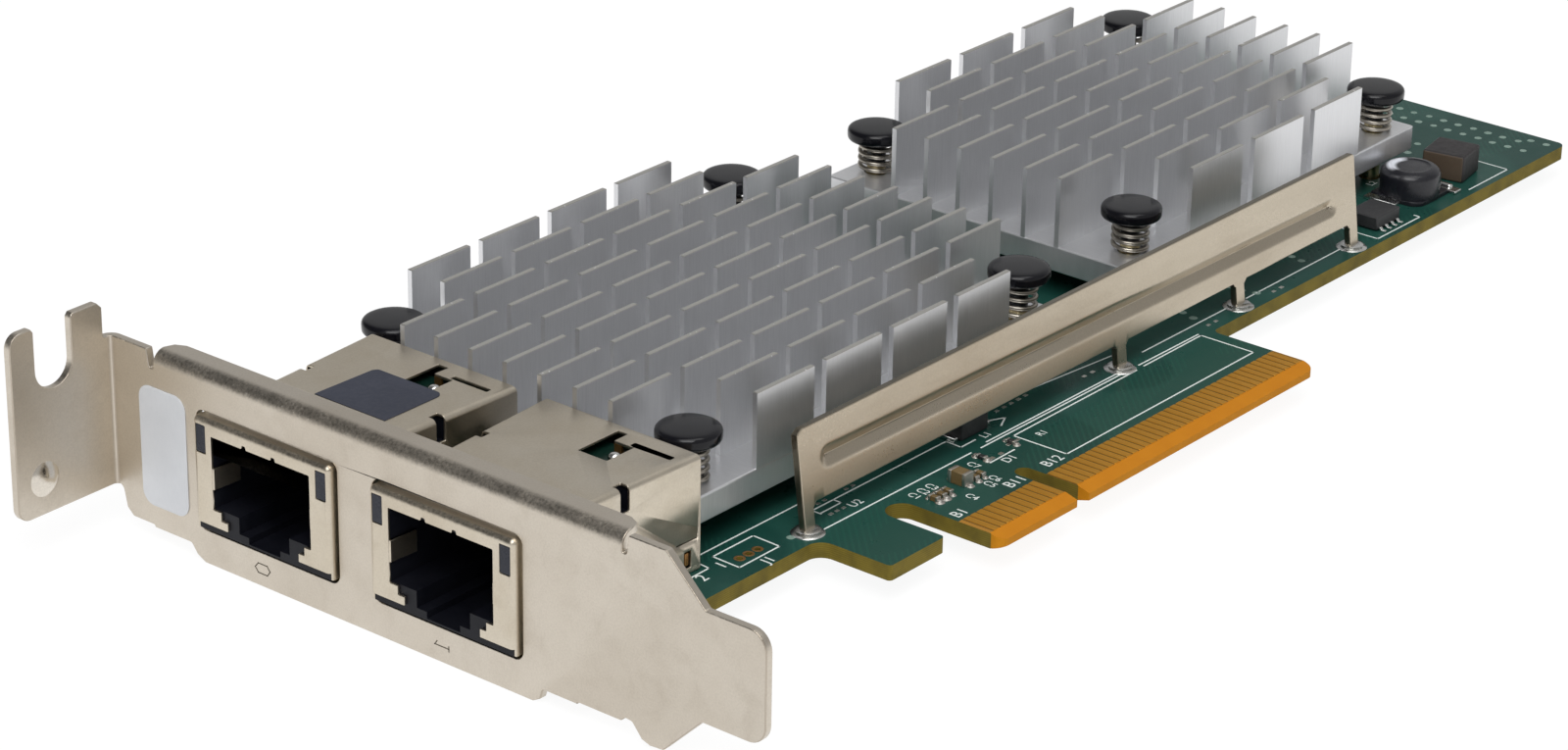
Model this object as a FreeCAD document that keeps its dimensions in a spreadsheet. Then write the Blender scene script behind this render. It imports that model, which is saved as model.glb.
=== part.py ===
import FreeCAD, Part
import Sketcher
import os

# Low-profile network interface card with two cable jacks. The row frame sits on the bracket's outer
# face: +X runs along the card, +Y towards the bracket's screw flange, +Z off the component side, and
# the board's component side is z = 0. All sizes are millimetres.

doc = FreeCAD.newDocument("NetworkCard")
sheet = doc.addObject("Spreadsheet::Sheet", "Sizes")


class Size:
    """A length that knows both its expression text and its present value."""

    def __init__(self, text, value):
        self.text = text
        self.value = value

    def join(self, sign, other, value):
        return Size(f"({self.text} {sign} {other.text})", value)

    def __add__(self, other):
        other = asSize(other)
        return self.join("+", other, self.value + other.value)

    def __radd__(self, other):
        return asSize(other) + self

    def __sub__(self, other):
        other = asSize(other)
        return self.join("-", other, self.value - other.value)

    def __rsub__(self, other):
        return asSize(other) - self

    def __mul__(self, other):
        other = asSize(other)
        return self.join("*", other, self.value * other.value)

    def __rmul__(self, other):
        return asSize(other) * self

    def __truediv__(self, other):
        other = asSize(other)
        return self.join("/", other, self.value / other.value)

    def __neg__(self):
        return Size(f"(0 - {self.text})", -self.value)


def asSize(value):
    return value if isinstance(value, Size) else Size(repr(float(value)), float(value))


sheetRow = 0


def size(name, value, note):
    """Put one driving size in the sheet under its own alias."""
    global sheetRow
    sheetRow += 1
    sheet.set(f"A{sheetRow}", note)
    sheet.set(f"B{sheetRow}", str(value))
    sheet.setAlias(f"B{sheetRow}", name)
    return Size(f"Sizes.{name}", float(value))


# Board
boardThick = size("boardThick", 1.57, "board thickness")
boardStart = size("boardStart", 1.2, "board's near end behind the bracket face")
boardEnd = size("boardEnd", 167.65, "board's far end")
boardTop = size("boardTop", 52.0, "board's upper edge")
boardCorner = size("boardCorner", 1.0, "board corner radius")
tabStart = size("tabStart", 34.7, "guide tab start")
tabEnd = size("tabEnd", 42.75, "guide tab end")
tabCorner = size("tabCorner", 0.45, "guide tab corner radius")
tabDrop = size("tabDrop", 8.3, "guide tab below the lower edge")
fingerStart = size("fingerStart", 46.03, "finger section start")
fingerEnd = size("fingerEnd", 97.85, "finger section end")
fingerDrop = size("fingerDrop", 12.4, "finger section below the lower edge")
fingerCorner = size("fingerCorner", 1.1, "finger section corner radius")
fingerRoot = size("fingerRoot", 0.8, "fillet where the finger section leaves the board")
tabRoot = size("tabRoot", 1.6, "fillet where the guide tab leaves the board")
slotTop = size("slotTop", 0.45, "guide slot tip below the lower edge")
bevelRun = size("bevelRun", 1.4, "finger bevel length")
bevelLand = size("bevelLand", 0.75, "board left at the bevel's tip")
keyCentre = size("keyCentre", 58.63, "key notch centre")
keyWide = size("keyWide", 1.9, "key notch width")
keyTop = size("keyTop", 4.6, "key notch tip below the lower edge")
# Contacts
contactFirst = size("contactFirst", 47.13, "first contact centre")
contactPitch = size("contactPitch", 1.0, "contact pitch")
contactWide = size("contactWide", 0.78, "contact width")
contactStep = size("contactStep", 3.0, "step over the key notch")
contactInner = size("contactInner", 7.35, "contact inner end below the lower edge")
contactOuter = size("contactOuter", 10.95, "contact outer end below the lower edge")
contactThick = size("contactThick", 0.05, "contact thickness")
# Bracket
sheetThick = size("sheetThick", 0.86, "bracket sheet")
flangeY = size("flangeY", 55.7, "flange seat")
flangeDeep = size("flangeDeep", 12.0, "flange outer edge before the bracket face")
flangeLow = size("flangeLow", 0.6, "flange lower side")
flangeHigh = size("flangeHigh", 19.2, "flange upper side")
foldInner = size("foldInner", 0.45, "fold inner radius")
screwSlotX = size("screwSlotX", 6.9, "screw slot centre before the bracket face")
screwSlotWide = size("screwSlotWide", 4.42, "screw slot width")
screwSlotEnd = size("screwSlotEnd", 14.9, "screw slot blind end centre")
stripLow = size("stripLow", -3.9, "strip lower edge below the jacks")
stripStep = size("stripStep", -2.2, "strip lower edge beside the jacks")
stripHigh = size("stripHigh", 15.6, "strip upper edge")
wideFrom = size("wideFrom", 3.0, "wide strip part start")
wideTo = size("wideTo", 45.0, "wide strip part end")
tongueTip = size("tongueTip", -22.4, "tongue tip")
tongueLow = size("tongueLow", 0.8, "tongue lower side")
tongueHigh = size("tongueHigh", 11.4, "tongue upper side")
tongueRadius = size("tongueRadius", 1.9, "tongue corner radius")
lipDeep = size("lipDeep", 3.0, "upper lip depth")
lipRadius = size("lipRadius", 1.4, "upper lip outer bend radius")
lipFrom = size("lipFrom", -6.6, "upper lip start")
lipTo = size("lipTo", 50.2, "upper lip end")
windowSide = size("windowSide", 0.25, "window clearance to a jack")
windowRadius = size("windowRadius", 0.9, "window corner radius")
lugWide = size("lugWide", 5.0, "fixing lug width")
lugDeep = size("lugDeep", 7.0, "fixing lug length")
lugFarY = size("lugFarY", 48.4, "fixing lug centre beyond the jacks")
lugNearY = size("lugNearY", 1.0, "fixing lug centre before the jacks")
lugScrewX = size("lugScrewX", 4.4, "fixing screw centre")
# Jacks
jackPitch = size("jackPitch", 22.15, "jack pitch")
jackNearY = size("jackNearY", 13.7, "near jack centre")
jackFront = size("jackFront", 0.8, "jack front before the bracket face")
jackStraight = size("jackStraight", 9.8, "jack straight front part end")
jackRear = size("jackRear", 23.0, "jack rear")
jackHalf = size("jackHalf", 8.65, "jack front half width")
jackRearHalf = size("jackRearHalf", 9.45, "jack rear half width")
jackHigh = size("jackHigh", 11.3, "jack height")
shieldThick = size("shieldThick", 0.3, "jack shield sheet")
shieldRadius = size("shieldRadius", 1.0, "shield bend radius")
plugWide = size("plugWide", 12.45, "plug opening width")
plugHigh = size("plugHigh", 9.75, "plug opening top")
plugStep = size("plugStep", 2.45, "plug opening first step")
plugKey = size("plugKey", 1.6, "plug opening second step")
shieldFoot = size("shieldFoot", 0.75, "shield front lower edge")
ledgeHigh = size("ledgeHigh", 2.5, "moulded ledge beside the latch channel")
latchHalf = size("latchHalf", 3.2, "latch channel half width")
latchLow = size("latchLow", 0.85, "latch channel floor")
latchSlotHalf = size("latchSlotHalf", 2.0, "latch slot half width")
plugFloor = size("plugFloor", 0.2, "latch slot floor")
fingerLow = size("fingerLow", 4.4, "side spring finger lower edge")
fingerHigh = size("fingerHigh", 2.1, "side spring finger height")
fingerLong = size("fingerLong", 3.3, "side spring finger length")
plugDeep = size("plugDeep", 14.0, "plug opening depth")
plugShift = size("plugShift", 0.03, "plug opening offset from the jack centre")
lensWide = size("lensWide", 1.25, "status lens width")
lensHigh = size("lensHigh", 2.8, "status lens height")
lensTop = size("lensTop", 10.6, "status lens top")
lensEdge = size("lensEdge", 1.05, "status lens centre from the jack's side")
lensSide = jackHalf - lensEdge
# Heatsinks
sinkBaseLow = size("sinkBaseLow", 2.75, "heatsink base underside")
sinkBaseThick = size("sinkBaseThick", 2.75, "heatsink base thickness")
finHigh = size("finHigh", 7.6, "fin height")
finThick = size("finThick", 0.55, "fin thickness")
frontSinkX = size("frontSinkX", 23.45, "front heatsink start")
frontSinkY = size("frontSinkY", 6.5, "front heatsink lower side")
frontFinPitch = size("frontFinPitch", 4.33, "front fin row pitch")
frontFinCell = size("frontFinCell", 10.0, "front fin column pitch")
frontFinLong = size("frontFinLong", 8.25, "front fin length")
rearSinkX = size("rearSinkX", 94.4, "rear heatsink start")
rearSinkY = size("rearSinkY", 8.6, "rear heatsink lower side")
rearFinPitch = size("rearFinPitch", 4.25, "rear fin row pitch")
rearFinCell = size("rearFinCell", 11.3, "rear fin column pitch")
rearFinLong = size("rearFinLong", 9.15, "rear fin length")
frontPinX = size("frontPinX", 27.75, "front push pins, near column")
frontPinFarX = size("frontPinFarX", 77.7, "front push pins, far column")
frontPinY = size("frontPinY", 9.8, "front push pins, lower row")
frontPinFarY = size("frontPinFarY", 46.7, "front push pins, upper row")
rearPinX = size("rearPinX", 99.0, "rear push pins, near column")
rearPinFarX = size("rearPinFarX", 144.9, "rear push pins, far column")
rearPinY = size("rearPinY", 11.4, "rear push pins, lower row")
rearPinFarY = size("rearPinFarY", 44.5, "rear push pins, upper row")
pinCapRadius = size("pinCapRadius", 3.15, "push pin cap radius")
pinCapHigh = size("pinCapHigh", 1.5, "push pin cap height")
frontPinTop = size("frontPinTop", 10.95, "front push pin top")
rearPinTop = size("rearPinTop", 10.6, "rear push pin top")
pinShank = size("pinShank", 1.0, "push pin shank radius")
pinHole = size("pinHole", 1.25, "push pin hole radius")
pinTip = size("pinTip", -3.7, "push pin tip")
springRadius = size("springRadius", 1.75, "pin spring mean radius")
springWire = size("springWire", 0.24, "pin spring wire radius")
springTurns = size("springTurns", 4.0, "pin spring turns")
chipLong = size("chipLong", 25.0, "main chip side")
padThick = size("padThick", 0.25, "thermal pad thickness")
# Stiffener rail
railX = size("railX", 34.4, "rail start")
railLong = size("railLong", 92.6, "rail length")
railY = size("railY", 1.7, "rail middle plane at the board")
railThick = size("railThick", 0.8, "rail sheet")
railLow = size("railLow", 2.7, "rail lower edge")
railHigh = size("railHigh", 10.2, "rail upper edge")
railLean = size("railLean", 7.5, "rail lean in degrees")
footWide = size("footWide", 1.5, "rail foot width")
footHole = size("footHole", 1.15, "rail foot hole radius")
ribHigh = size("ribHigh", 2.5, "rail rib height")
ribDeep = size("ribDeep", 0.45, "rail rib depth")
ribMiddle = size("ribMiddle", 6.45, "rail rib middle height at its start")
ribDrop = size("ribDrop", 0.9, "rail rib fall along its length")

doc.recompute()


def bind(item, **fields):
    """Bind properties to the sheet; axis names stand for the placement's base."""
    for field, value in fields.items():
        value = asSize(value)
        path = f"Placement.Base.{field}" if field in ("x", "y", "z") else field
        item.setExpression(path, value.text)
    return item


def makeBox(name, x, y, z, Length, Width, Height):
    return bind(doc.addObject("Part::Box", name), x=x, y=y, z=z, Length=Length, Width=Width, Height=Height)


def makeCylinder(name, x, y, z, Radius, Height):
    return bind(doc.addObject("Part::Cylinder", name), x=x, y=y, z=z, Radius=Radius, Height=Height)


def makeCone(name, x, y, z, low, high, Height):
    cone = doc.addObject("Part::Cone", name)
    return bind(cone, x=x, y=y, z=z, Radius1=low, Radius2=high, Height=Height)


def fuse(name, shapes):
    joined = doc.addObject("Part::MultiFuse", name)
    joined.Shapes = shapes
    return joined


def cut(name, base, tool):
    rest = doc.addObject("Part::Cut", name)
    rest.Base = base
    rest.Tool = tool
    return rest


def originPlane(body, role):
    return next(item for item in body.Origin.OriginFeatures if item.Role == role)


def makeSketch(body, name, role, loops, offset=None):
    """Draw closed loops: corner lists, or (x, y, radius) circles, every point bound to the sheet."""
    sketch = body.newObject("Sketcher::SketchObject", name)
    sketch.AttachmentSupport = [(originPlane(body, role), "")]
    sketch.MapMode = "FlatFace"
    if offset is not None:
        sketch.setExpression("AttachmentOffset.Base.z", asSize(offset).text)
    for loop in loops:
        if isinstance(loop, tuple):
            x, y, radius = (asSize(value) for value in loop)
            centre = FreeCAD.Vector(x.value, y.value, 0)
            index = sketch.addGeometry(Part.Circle(centre, FreeCAD.Vector(0, 0, 1), radius.value), False)
            limit(sketch, "DistanceX", index, 3, x)
            limit(sketch, "DistanceY", index, 3, y)
            number = sketch.addConstraint(Sketcher.Constraint("Radius", index, radius.value))
            sketch.setExpression(f"Constraints[{number}]", radius.text)
            continue
        corners = [(asSize(x), asSize(y)) for x, y in loop]
        points = [FreeCAD.Vector(x.value, y.value, 0) for x, y in corners]
        first = sketch.GeometryCount
        for place, point in enumerate(points):
            sketch.addGeometry(Part.LineSegment(point, points[(place + 1) % len(points)]), False)
        for place, (x, y) in enumerate(corners):
            before = first + (place - 1) % len(points)
            sketch.addConstraint(Sketcher.Constraint("Coincident", before, 2, first + place, 1))
            limit(sketch, "DistanceX", first + place, 1, x)
            limit(sketch, "DistanceY", first + place, 1, y)
    return sketch


def limit(sketch, kind, index, point, value):
    """Fix one point's distance from the sketch origin."""
    if abs(value.value) < 1e-9 and value.text == "0.0":
        axis = -2 if kind == "DistanceX" else -1
        sketch.addConstraint(Sketcher.Constraint("PointOnObject", index, point, axis))
        return
    number = sketch.addConstraint(Sketcher.Constraint(kind, -1, 1, index, point, value.value))
    sketch.setExpression(f"Constraints[{number}]", value.text)


def makeBody(name, role, loops, length, offset=None, flip=False):
    """A body with one padded sketch."""
    body = doc.addObject("PartDesign::Body", name)
    sketch = makeSketch(body, name + "Outline", role, loops, offset)
    pad = body.newObject("PartDesign::Pad", name + "Pad")
    pad.Profile = sketch
    pad.Reversed = flip
    pad.setExpression("Length", asSize(length).text)
    body.Tip = pad
    doc.recompute()
    return body


def addPocket(body, name, role, loops, length, offset=None):
    """Cut a sketch out of the body and make sure that the cut takes material away."""
    before = body.Shape.Volume
    sketch = makeSketch(body, name + "Outline", role, loops, offset)
    pocket = body.newObject("PartDesign::Pocket", name)
    pocket.Profile = sketch
    pocket.setExpression("Length", asSize(length).text)
    body.Tip = pocket
    doc.recompute()
    if pocket.Shape.Volume > before - 1e-6:
        pocket.Reversed = True
        doc.recompute()
    if pocket.Shape.Volume > before - 1e-6:
        raise ValueError(name + " cuts nothing")
    return pocket


def addPattern(body, name, feature, axisRole, length, count):
    """Repeat a feature in a row along one of the body's own axes."""
    pattern = body.newObject("PartDesign::LinearPattern", name)
    pattern.Originals = [feature]
    axis = next(item for item in body.Origin.OriginFeatures if item.Role == axisRole)
    pattern.Direction = (axis, [""])
    pattern.setExpression("Length", asSize(length).text)
    pattern.Occurrences = count
    body.Tip = pattern
    doc.recompute()
    return pattern


def roundEdges(body, name, radius, chosen):
    """Round the edges whose middle point passes the test."""
    base = body.Tip
    edges = []
    for number, edge in enumerate(base.Shape.Edges, 1):
        middle = edge.valueAt((edge.FirstParameter + edge.LastParameter) / 2)
        if chosen(edge, middle):
            edges.append(f"Edge{number}")
    fillet = body.newObject("PartDesign::Fillet", name)
    fillet.Base = (base, edges)
    fillet.setExpression("Radius", asSize(radius).text)
    body.Tip = fillet
    doc.recompute()
    return fillet


def along(edge, axis):
    """True for a straight edge that runs along the given axis."""
    if not isinstance(edge.Curve, Part.Line):
        return False
    return abs(getattr(edge.Curve.Direction, axis)) > 0.999


def near(a, b, room=0.02):
    return abs(a - b) < room


nodes = {}


def keep(name, item):
    """Name a finished sub-part after its file."""
    item.Label = name
    nodes[name] = item
    return item


# The board: one plate with a guide tab, a finger section and a key notch.
halfKey = keyWide / 2
halfSlot = (fingerStart - tabEnd) / 2
boardOutline = [
    (boardStart, 0), (tabStart, 0), (tabStart, -tabDrop), (tabEnd, -tabDrop), (tabEnd, -slotTop - halfSlot),
    (fingerStart, -slotTop - halfSlot), (fingerStart, -fingerDrop), (keyCentre - halfKey, -fingerDrop),
    (keyCentre - halfKey, -keyTop - halfKey), (keyCentre + halfKey, -keyTop - halfKey),
    (keyCentre + halfKey, -fingerDrop), (fingerEnd, -fingerDrop), (fingerEnd, 0), (boardEnd, 0),
    (boardEnd, boardTop), (boardStart, boardTop)]
board = makeBody("Board", "XY_Plane", [boardOutline], boardThick, -boardThick)


def boardEdge(*places):
    """Edges through the board's thickness at the given corners."""
    def chosen(edge, middle):
        return along(edge, "z") and any(near(middle.x, x.value) and near(middle.y, y) for x, y in places)
    return chosen


tip = -fingerDrop.value
roundEdges(board, "BoardCorners", boardCorner, boardEdge((boardEnd, 0), (boardEnd, boardTop.value)))
roundEdges(board, "FingerCorners", fingerCorner, boardEdge((fingerStart, tip), (fingerEnd, tip)))
roundEdges(board, "TabCorners", tabCorner, boardEdge((tabStart, -tabDrop.value), (tabEnd, -tabDrop.value)))
roundEdges(board, "TabRoot", tabRoot, boardEdge((tabStart, 0)))
roundEdges(board, "FingerRoot", fingerRoot, boardEdge((fingerEnd, 0)))
bevelSide = (boardThick - bevelLand) / 2
bevelTop = [(-fingerDrop - 0.5, 0.2), (-fingerDrop + bevelRun, 0.2), (-fingerDrop + bevelRun, 0),
            (-fingerDrop, -bevelSide), (-fingerDrop - 0.5, -bevelSide)]
bevelBottom = [(-fingerDrop - 0.5, -boardThick - 0.2), (-fingerDrop + bevelRun, -boardThick - 0.2),
               (-fingerDrop + bevelRun, -boardThick), (-fingerDrop, -boardThick + bevelSide),
               (-fingerDrop - 0.5, -boardThick + bevelSide)]
bevelTool = makeBody("FingerBevel", "YZ_Plane", [bevelTop], fingerEnd - fingerStart + 2, fingerStart - 1)
bevelToolLow = makeBody("FingerBevelLow", "YZ_Plane", [bevelBottom], fingerEnd - fingerStart + 2, fingerStart - 1)

# Heatsink plan sizes follow from the fin grids.
frontRows = 11
frontColumns = 6
rearRows = 10
rearColumns = 5
frontSinkLong = frontFinCell * (frontColumns - 1) + frontFinLong
frontSinkWide = frontFinPitch * (frontRows - 1) + finThick
rearSinkLong = rearFinCell * (rearColumns - 1) + rearFinLong
rearSinkWide = rearFinPitch * (rearRows - 1) + finThick


frontPins = [(x, y) for x in (frontPinX, frontPinFarX) for y in (frontPinY, frontPinFarY)]
rearPins = [(x, y) for x in (rearPinX, rearPinFarX) for y in (rearPinY, rearPinFarY)]
footCentres = [railX + footWide / 2, railX + 49.8, railX + 70.6, railX + railLong - footWide / 2]
jackFarY = jackNearY + jackPitch
jackCentres = {"zero": jackFarY, "one": jackNearY}
headerX = 28.2
headerY = 2.95

boardTools = [bevelTool, bevelToolLow,
              makeCylinder("SlotTip", tabEnd + halfSlot, -slotTop - halfSlot, -boardThick - 1, halfSlot, boardThick + 2),
              makeCylinder("KeyTip", keyCentre, -keyTop - halfKey, -boardThick - 1, halfKey, boardThick + 2)]
for number, (x, y) in enumerate(frontPins + rearPins):
    boardTools.append(makeCylinder(f"PinHole{number}", x, y, -boardThick - 1, pinHole, boardThick + 2))
for number, x in enumerate(footCentres):
    boardTools.append(makeCylinder(f"FootHole{number}", x, railY, -boardThick - 1, footHole, boardThick + 2))
for number in range(3):
    boardTools.append(makeCylinder(f"HeaderHole{number}", headerX + 1.27 * (number - 1), headerY,
                                   -boardThick - 1, 0.3, boardThick + 2))
insertRadius = 2.1
for number, y in enumerate((lugNearY, lugFarY)):
    boardTools.append(makeCylinder(f"InsertHole{number}", lugScrewX, y, -boardThick - 1, insertRadius, boardThick + 2))
leadRows = []
for port, centre in jackCentres.items():
    for number in range(8):
        leadRows.append((port, 15.2 + 2.3 * (number % 2), centre + 1.15 * (number - 3.5)))
for number, (port, x, y) in enumerate(leadRows):
    boardTools.append(makeCylinder(f"LeadHole{number}", x, y, -boardThick - 1, 0.45, boardThick + 2))
pegX = 8.0
legXs = (10.5, 19.0)


def legSide(x):
    """How far from the jack's centre its shield sheet stands at x, to the middle of the sheet."""
    flare = (jackRearHalf - jackHalf) / (jackRear - jackStraight) * max(x - jackStraight.value, 0)
    return jackHalf + flare - shieldThick / 2


for port, centre in jackCentres.items():
    for side in (-1, 1):
        boardTools.append(makeCylinder(f"PegHole{port}{side + 1}", pegX, centre + side * 5.7, -boardThick - 1, 1.15,
                                       boardThick + 2))
        for place, x in enumerate(legXs):
            y = centre + side * legSide(x)
            boardTools.append(makeCylinder(f"ShieldHole{port}{side + 1}{place}", x, y, -boardThick - 1, 0.8,
                                           boardThick + 2))
keep("circuit_board", cut("BoardCut", board, fuse("BoardTools", boardTools)))

# Edge contacts: one row on each side of the finger section.
contactBoxes = []
for number in range(49):
    x = contactFirst + contactPitch * number - contactWide / 2
    if number > 10:
        x = contactFirst + contactPitch * (number - 1) + contactStep - contactPitch - contactWide / 2
    contactBoxes.append(makeBox(f"Contact{number}", x, -contactOuter, 0, contactWide,
                                contactOuter - contactInner, contactThick))
contacts = keep("component_side_contacts", fuse("ContactRow", contactBoxes))
mirrored = doc.addObject("Part::Mirroring", "ContactRowLow")
mirrored.Source = contacts
mirrored.Normal = FreeCAD.Vector(0, 0, 1)
mirrored.setExpression("Base.z", (-boardThick / 2).text)
keep("solder_side_contacts", mirrored)

# The bracket: strip with windows, folded flange with the screw slot, rolled upper lip, fixing lugs.
foldEnd = flangeY - foldInner
lipSeat = stripHigh - lipRadius
stripOutline = [
    (foldEnd, flangeLow), (foldEnd - 0.3, flangeLow - 0.3), (foldEnd - 0.7, stripStep + 0.7),
    (foldEnd - 1.5, stripStep), (wideTo + 2.2, stripStep), (wideTo + 1.9, stripStep + 0.35),
    (wideTo + 1.4, stripStep + 0.2), (wideTo + 0.3, stripLow + 0.5), (wideTo - 0.7, stripLow),
    (wideFrom + 0.7, stripLow), (wideFrom - 0.2, stripLow + 0.5), (wideFrom - 0.6, stripStep + 0.2),
    (wideFrom - 1.2, stripStep + 0.35), (wideFrom - 1.5, stripStep), (tongueTip + 15.9, stripStep),
    (tongueTip + 15.5, stripStep + 0.4), (tongueTip + 14.7, stripStep + 0.3), (tongueTip + 13.6, stripLow + 0.7),
    (tongueTip + 12.7, stripLow + 0.4), (tongueTip + 11.2, stripLow + 0.5), (tongueTip + 6.9, tongueLow),
    (tongueTip, tongueLow), (tongueTip, tongueHigh), (tongueTip + 6.6, tongueHigh),
    (tongueTip + 10.9, stripHigh), (lipFrom - 0.7, stripHigh), (lipFrom - 0.5, lipSeat - 0.4),
    (lipFrom, lipSeat - 0.4), (lipFrom, lipSeat), (lipTo, lipSeat), (lipTo, lipSeat - 0.4),
    (lipTo + 0.5, lipSeat - 0.4), (lipTo + 0.8, stripHigh), (foldEnd, stripHigh)]
strip = makeBody("Strip", "YZ_Plane", [stripOutline], sheetThick)
roundEdges(strip, "TongueCorners", tongueRadius,
           lambda edge, middle: along(edge, "x") and near(middle.y, tongueTip.value))
windowHalf = jackHalf + windowSide
windowLoops = []
for centre in (jackNearY, jackFarY):
    windowLoops.append([(centre - windowHalf, -0.45), (centre + windowHalf, -0.45),
                        (centre + windowHalf, jackHigh + windowSide), (centre - windowHalf, jackHigh + windowSide)])
addPocket(strip, "Windows", "YZ_Plane", windowLoops, sheetThick + 1, sheetThick + 0.5)


def windowCorner(edge, middle):
    """The upright corners of the two windows."""
    if not along(edge, "x"):
        return False
    sides = [centre.value + sign * windowHalf.value for centre in (jackNearY, jackFarY) for sign in (-1, 1)]
    return any(near(middle.y, side) for side in sides) and middle.z > -1 and middle.z < 12.5


roundEdges(strip, "WindowCorners", windowRadius, windowCorner)

slotHalf = screwSlotWide / 2
flangeOutline = [
    (-flangeDeep, flangeLow), (-foldInner, flangeLow), (-foldInner, stripHigh), (-foldInner - 0.4, stripHigh),
    (-foldInner - 0.4, flangeHigh - 0.6), (-foldInner - 1.0, flangeHigh), (-screwSlotX + slotHalf + 0.3, flangeHigh),
    (-screwSlotX + slotHalf, flangeHigh - 0.4), (-screwSlotX + slotHalf, screwSlotEnd),
    (-screwSlotX - slotHalf, screwSlotEnd), (-screwSlotX - slotHalf, flangeHigh - 0.4),
    (-screwSlotX - slotHalf - 0.3, flangeHigh), (-flangeDeep, flangeHigh)]
flange = makeBody("Flange", "XZ_Plane", [flangeOutline], sheetThick, -flangeY - sheetThick)
roundEdges(flange, "FlangeCorners", 1.4, lambda edge, middle: along(edge, "y") and near(middle.x, -flangeDeep.value))
slotEnd = doc.addObject("Part::Cylinder", "SlotEnd")
slotEnd.Placement.Rotation = FreeCAD.Rotation(FreeCAD.Vector(1, 0, 0), -90)
bind(slotEnd, x=-screwSlotX, y=flangeY - 1, z=screwSlotEnd, Radius=slotHalf, Height=sheetThick + 2)
dimple = doc.addObject("Part::Sphere", "Dimple")
bind(dimple, x=-8.7, y=flangeY - 6.15, z=4.1, Radius=6.4)
flangeWithSlot = cut("FlangeSlot", flange, fuse("FlangeTools", [slotEnd, dimple]))
dome = doc.addObject("Part::Sphere", "Dome")
bind(dome, x=-8.7, y=flangeY - 5.5, z=4.1, Radius=6.8)
domeHollow = doc.addObject("Part::Sphere", "DomeHollow")
bind(domeHollow, x=-8.7, y=flangeY - 6.15, z=4.1, Radius=6.4)
domeKeep = makeBox("DomeKeep", -11.8, flangeY + sheetThick - 0.05, 1.0, 6.4, 2, 6.2)
domeShell = cut("DomeShell", dome, domeHollow)
domeCap = doc.addObject("Part::Common", "DomeCap")
domeCap.Base = domeShell
domeCap.Tool = domeKeep

foldOuter = doc.addObject("Part::Cylinder", "FoldOuter")
foldOuter.Angle = 90
bind(foldOuter, x=-foldInner, y=foldEnd, z=flangeLow, Radius=foldInner + sheetThick, Height=stripHigh - flangeLow)
foldCore = makeCylinder("FoldCore", -foldInner, foldEnd, flangeLow - 1, foldInner, stripHigh - flangeLow + 2)
fold = cut("Fold", foldOuter, foldCore)

lipOuter = doc.addObject("Part::Cylinder", "LipOuter")
lipOuter.Angle = 90
turned = FreeCAD.Rotation(FreeCAD.Vector(1, 0, 0), -90).multiply(FreeCAD.Rotation(FreeCAD.Vector(0, 0, 1), 180))
lipOuter.Placement.Rotation = turned
bind(lipOuter, x=lipRadius, y=lipFrom, z=lipSeat, Radius=lipRadius, Height=lipTo - lipFrom)
lipCore = doc.addObject("Part::Cylinder", "LipCore")
lipCore.Placement.Rotation = turned
bind(lipCore, x=lipRadius, y=lipFrom - 1, z=lipSeat, Radius=lipRadius - sheetThick, Height=lipTo - lipFrom + 2)
lipBend = cut("LipBend", lipOuter, lipCore)
lipCorner = 1.5
lipFlat = makeBody("LipFlat", "XY_Plane", [[
    (lipRadius, lipFrom), (lipDeep - lipCorner * 0.35, lipFrom + 0.4), (lipDeep, lipFrom + lipCorner),
    (lipDeep, lipTo - lipCorner), (lipDeep - lipCorner * 0.35, lipTo - 0.4), (lipRadius, lipTo)]],
    sheetThick, stripHigh - sheetThick)
bracketPieces = [strip, flangeWithSlot, domeCap, fold, lipBend, lipFlat]
lugHoles = []
for number, y in enumerate((lugNearY, lugFarY)):
    bracketPieces.append(makeBox(f"Lug{number}", sheetThick - 0.1, y - lugWide / 2, -boardThick - sheetThick,
                                 lugDeep, lugWide, sheetThick))
    lugHoles.append(makeCylinder(f"LugHole{number}", lugScrewX, y, -boardThick - 2 * sheetThick, 1.6, 3 * sheetThick))
lugRoot = makeBox("LugRoot", 0, lugFarY - lugWide / 2, -boardThick - sheetThick, sheetThick, lugWide, 1.5)
lugRootNear = makeBox("LugRootNear", 0, lugNearY - lugWide / 2, -boardThick - sheetThick, sheetThick, lugWide, 1.5)
bracketPieces += [lugRoot, lugRootNear]
keep("mounting_bracket", cut("BracketCut", fuse("BracketBlank", bracketPieces), fuse("LugHoles", lugHoles)))

# Fixing screws under the board and the threaded inserts they hold in.
screwShapes = []
insertShapes = []
screwSocket = []
lugUnder = -boardThick - sheetThick
for number, y in enumerate((lugNearY, lugFarY)):
    screwShapes.append(makeCylinder(f"ScrewHead{number}", lugScrewX, y, lugUnder - 1.2, 2.6, 1.2))
    screwShapes.append(makeCylinder(f"ScrewShank{number}", lugScrewX, y, lugUnder - 0.1, 1.2, boardThick + sheetThick - 0.2))
    for turn in (0, 90):
        arm = doc.addObject("Part::Box", f"ScrewCross{number}{turn}")
        if turn:
            bind(arm, x=lugScrewX - 0.3, y=y - 1.3, z=lugUnder - 1.3, Length=0.6, Width=2.6, Height=0.8)
        else:
            bind(arm, x=lugScrewX - 1.3, y=y - 0.3, z=lugUnder - 1.3, Length=2.6, Width=0.6, Height=0.8)
        screwSocket.append(arm)
    ring = makeCylinder(f"InsertBody{number}", lugScrewX, y, -boardThick, 2.08, boardThick)
    hole = makeCylinder(f"InsertBore{number}", lugScrewX, y, -boardThick - 1, 1.25, boardThick + 2)
    insertShapes.append(cut(f"Insert{number}", ring, hole))
keep("bracket_screws", cut("ScrewCut", fuse("ScrewBlank", screwShapes), fuse("ScrewSockets", screwSocket)))
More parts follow.
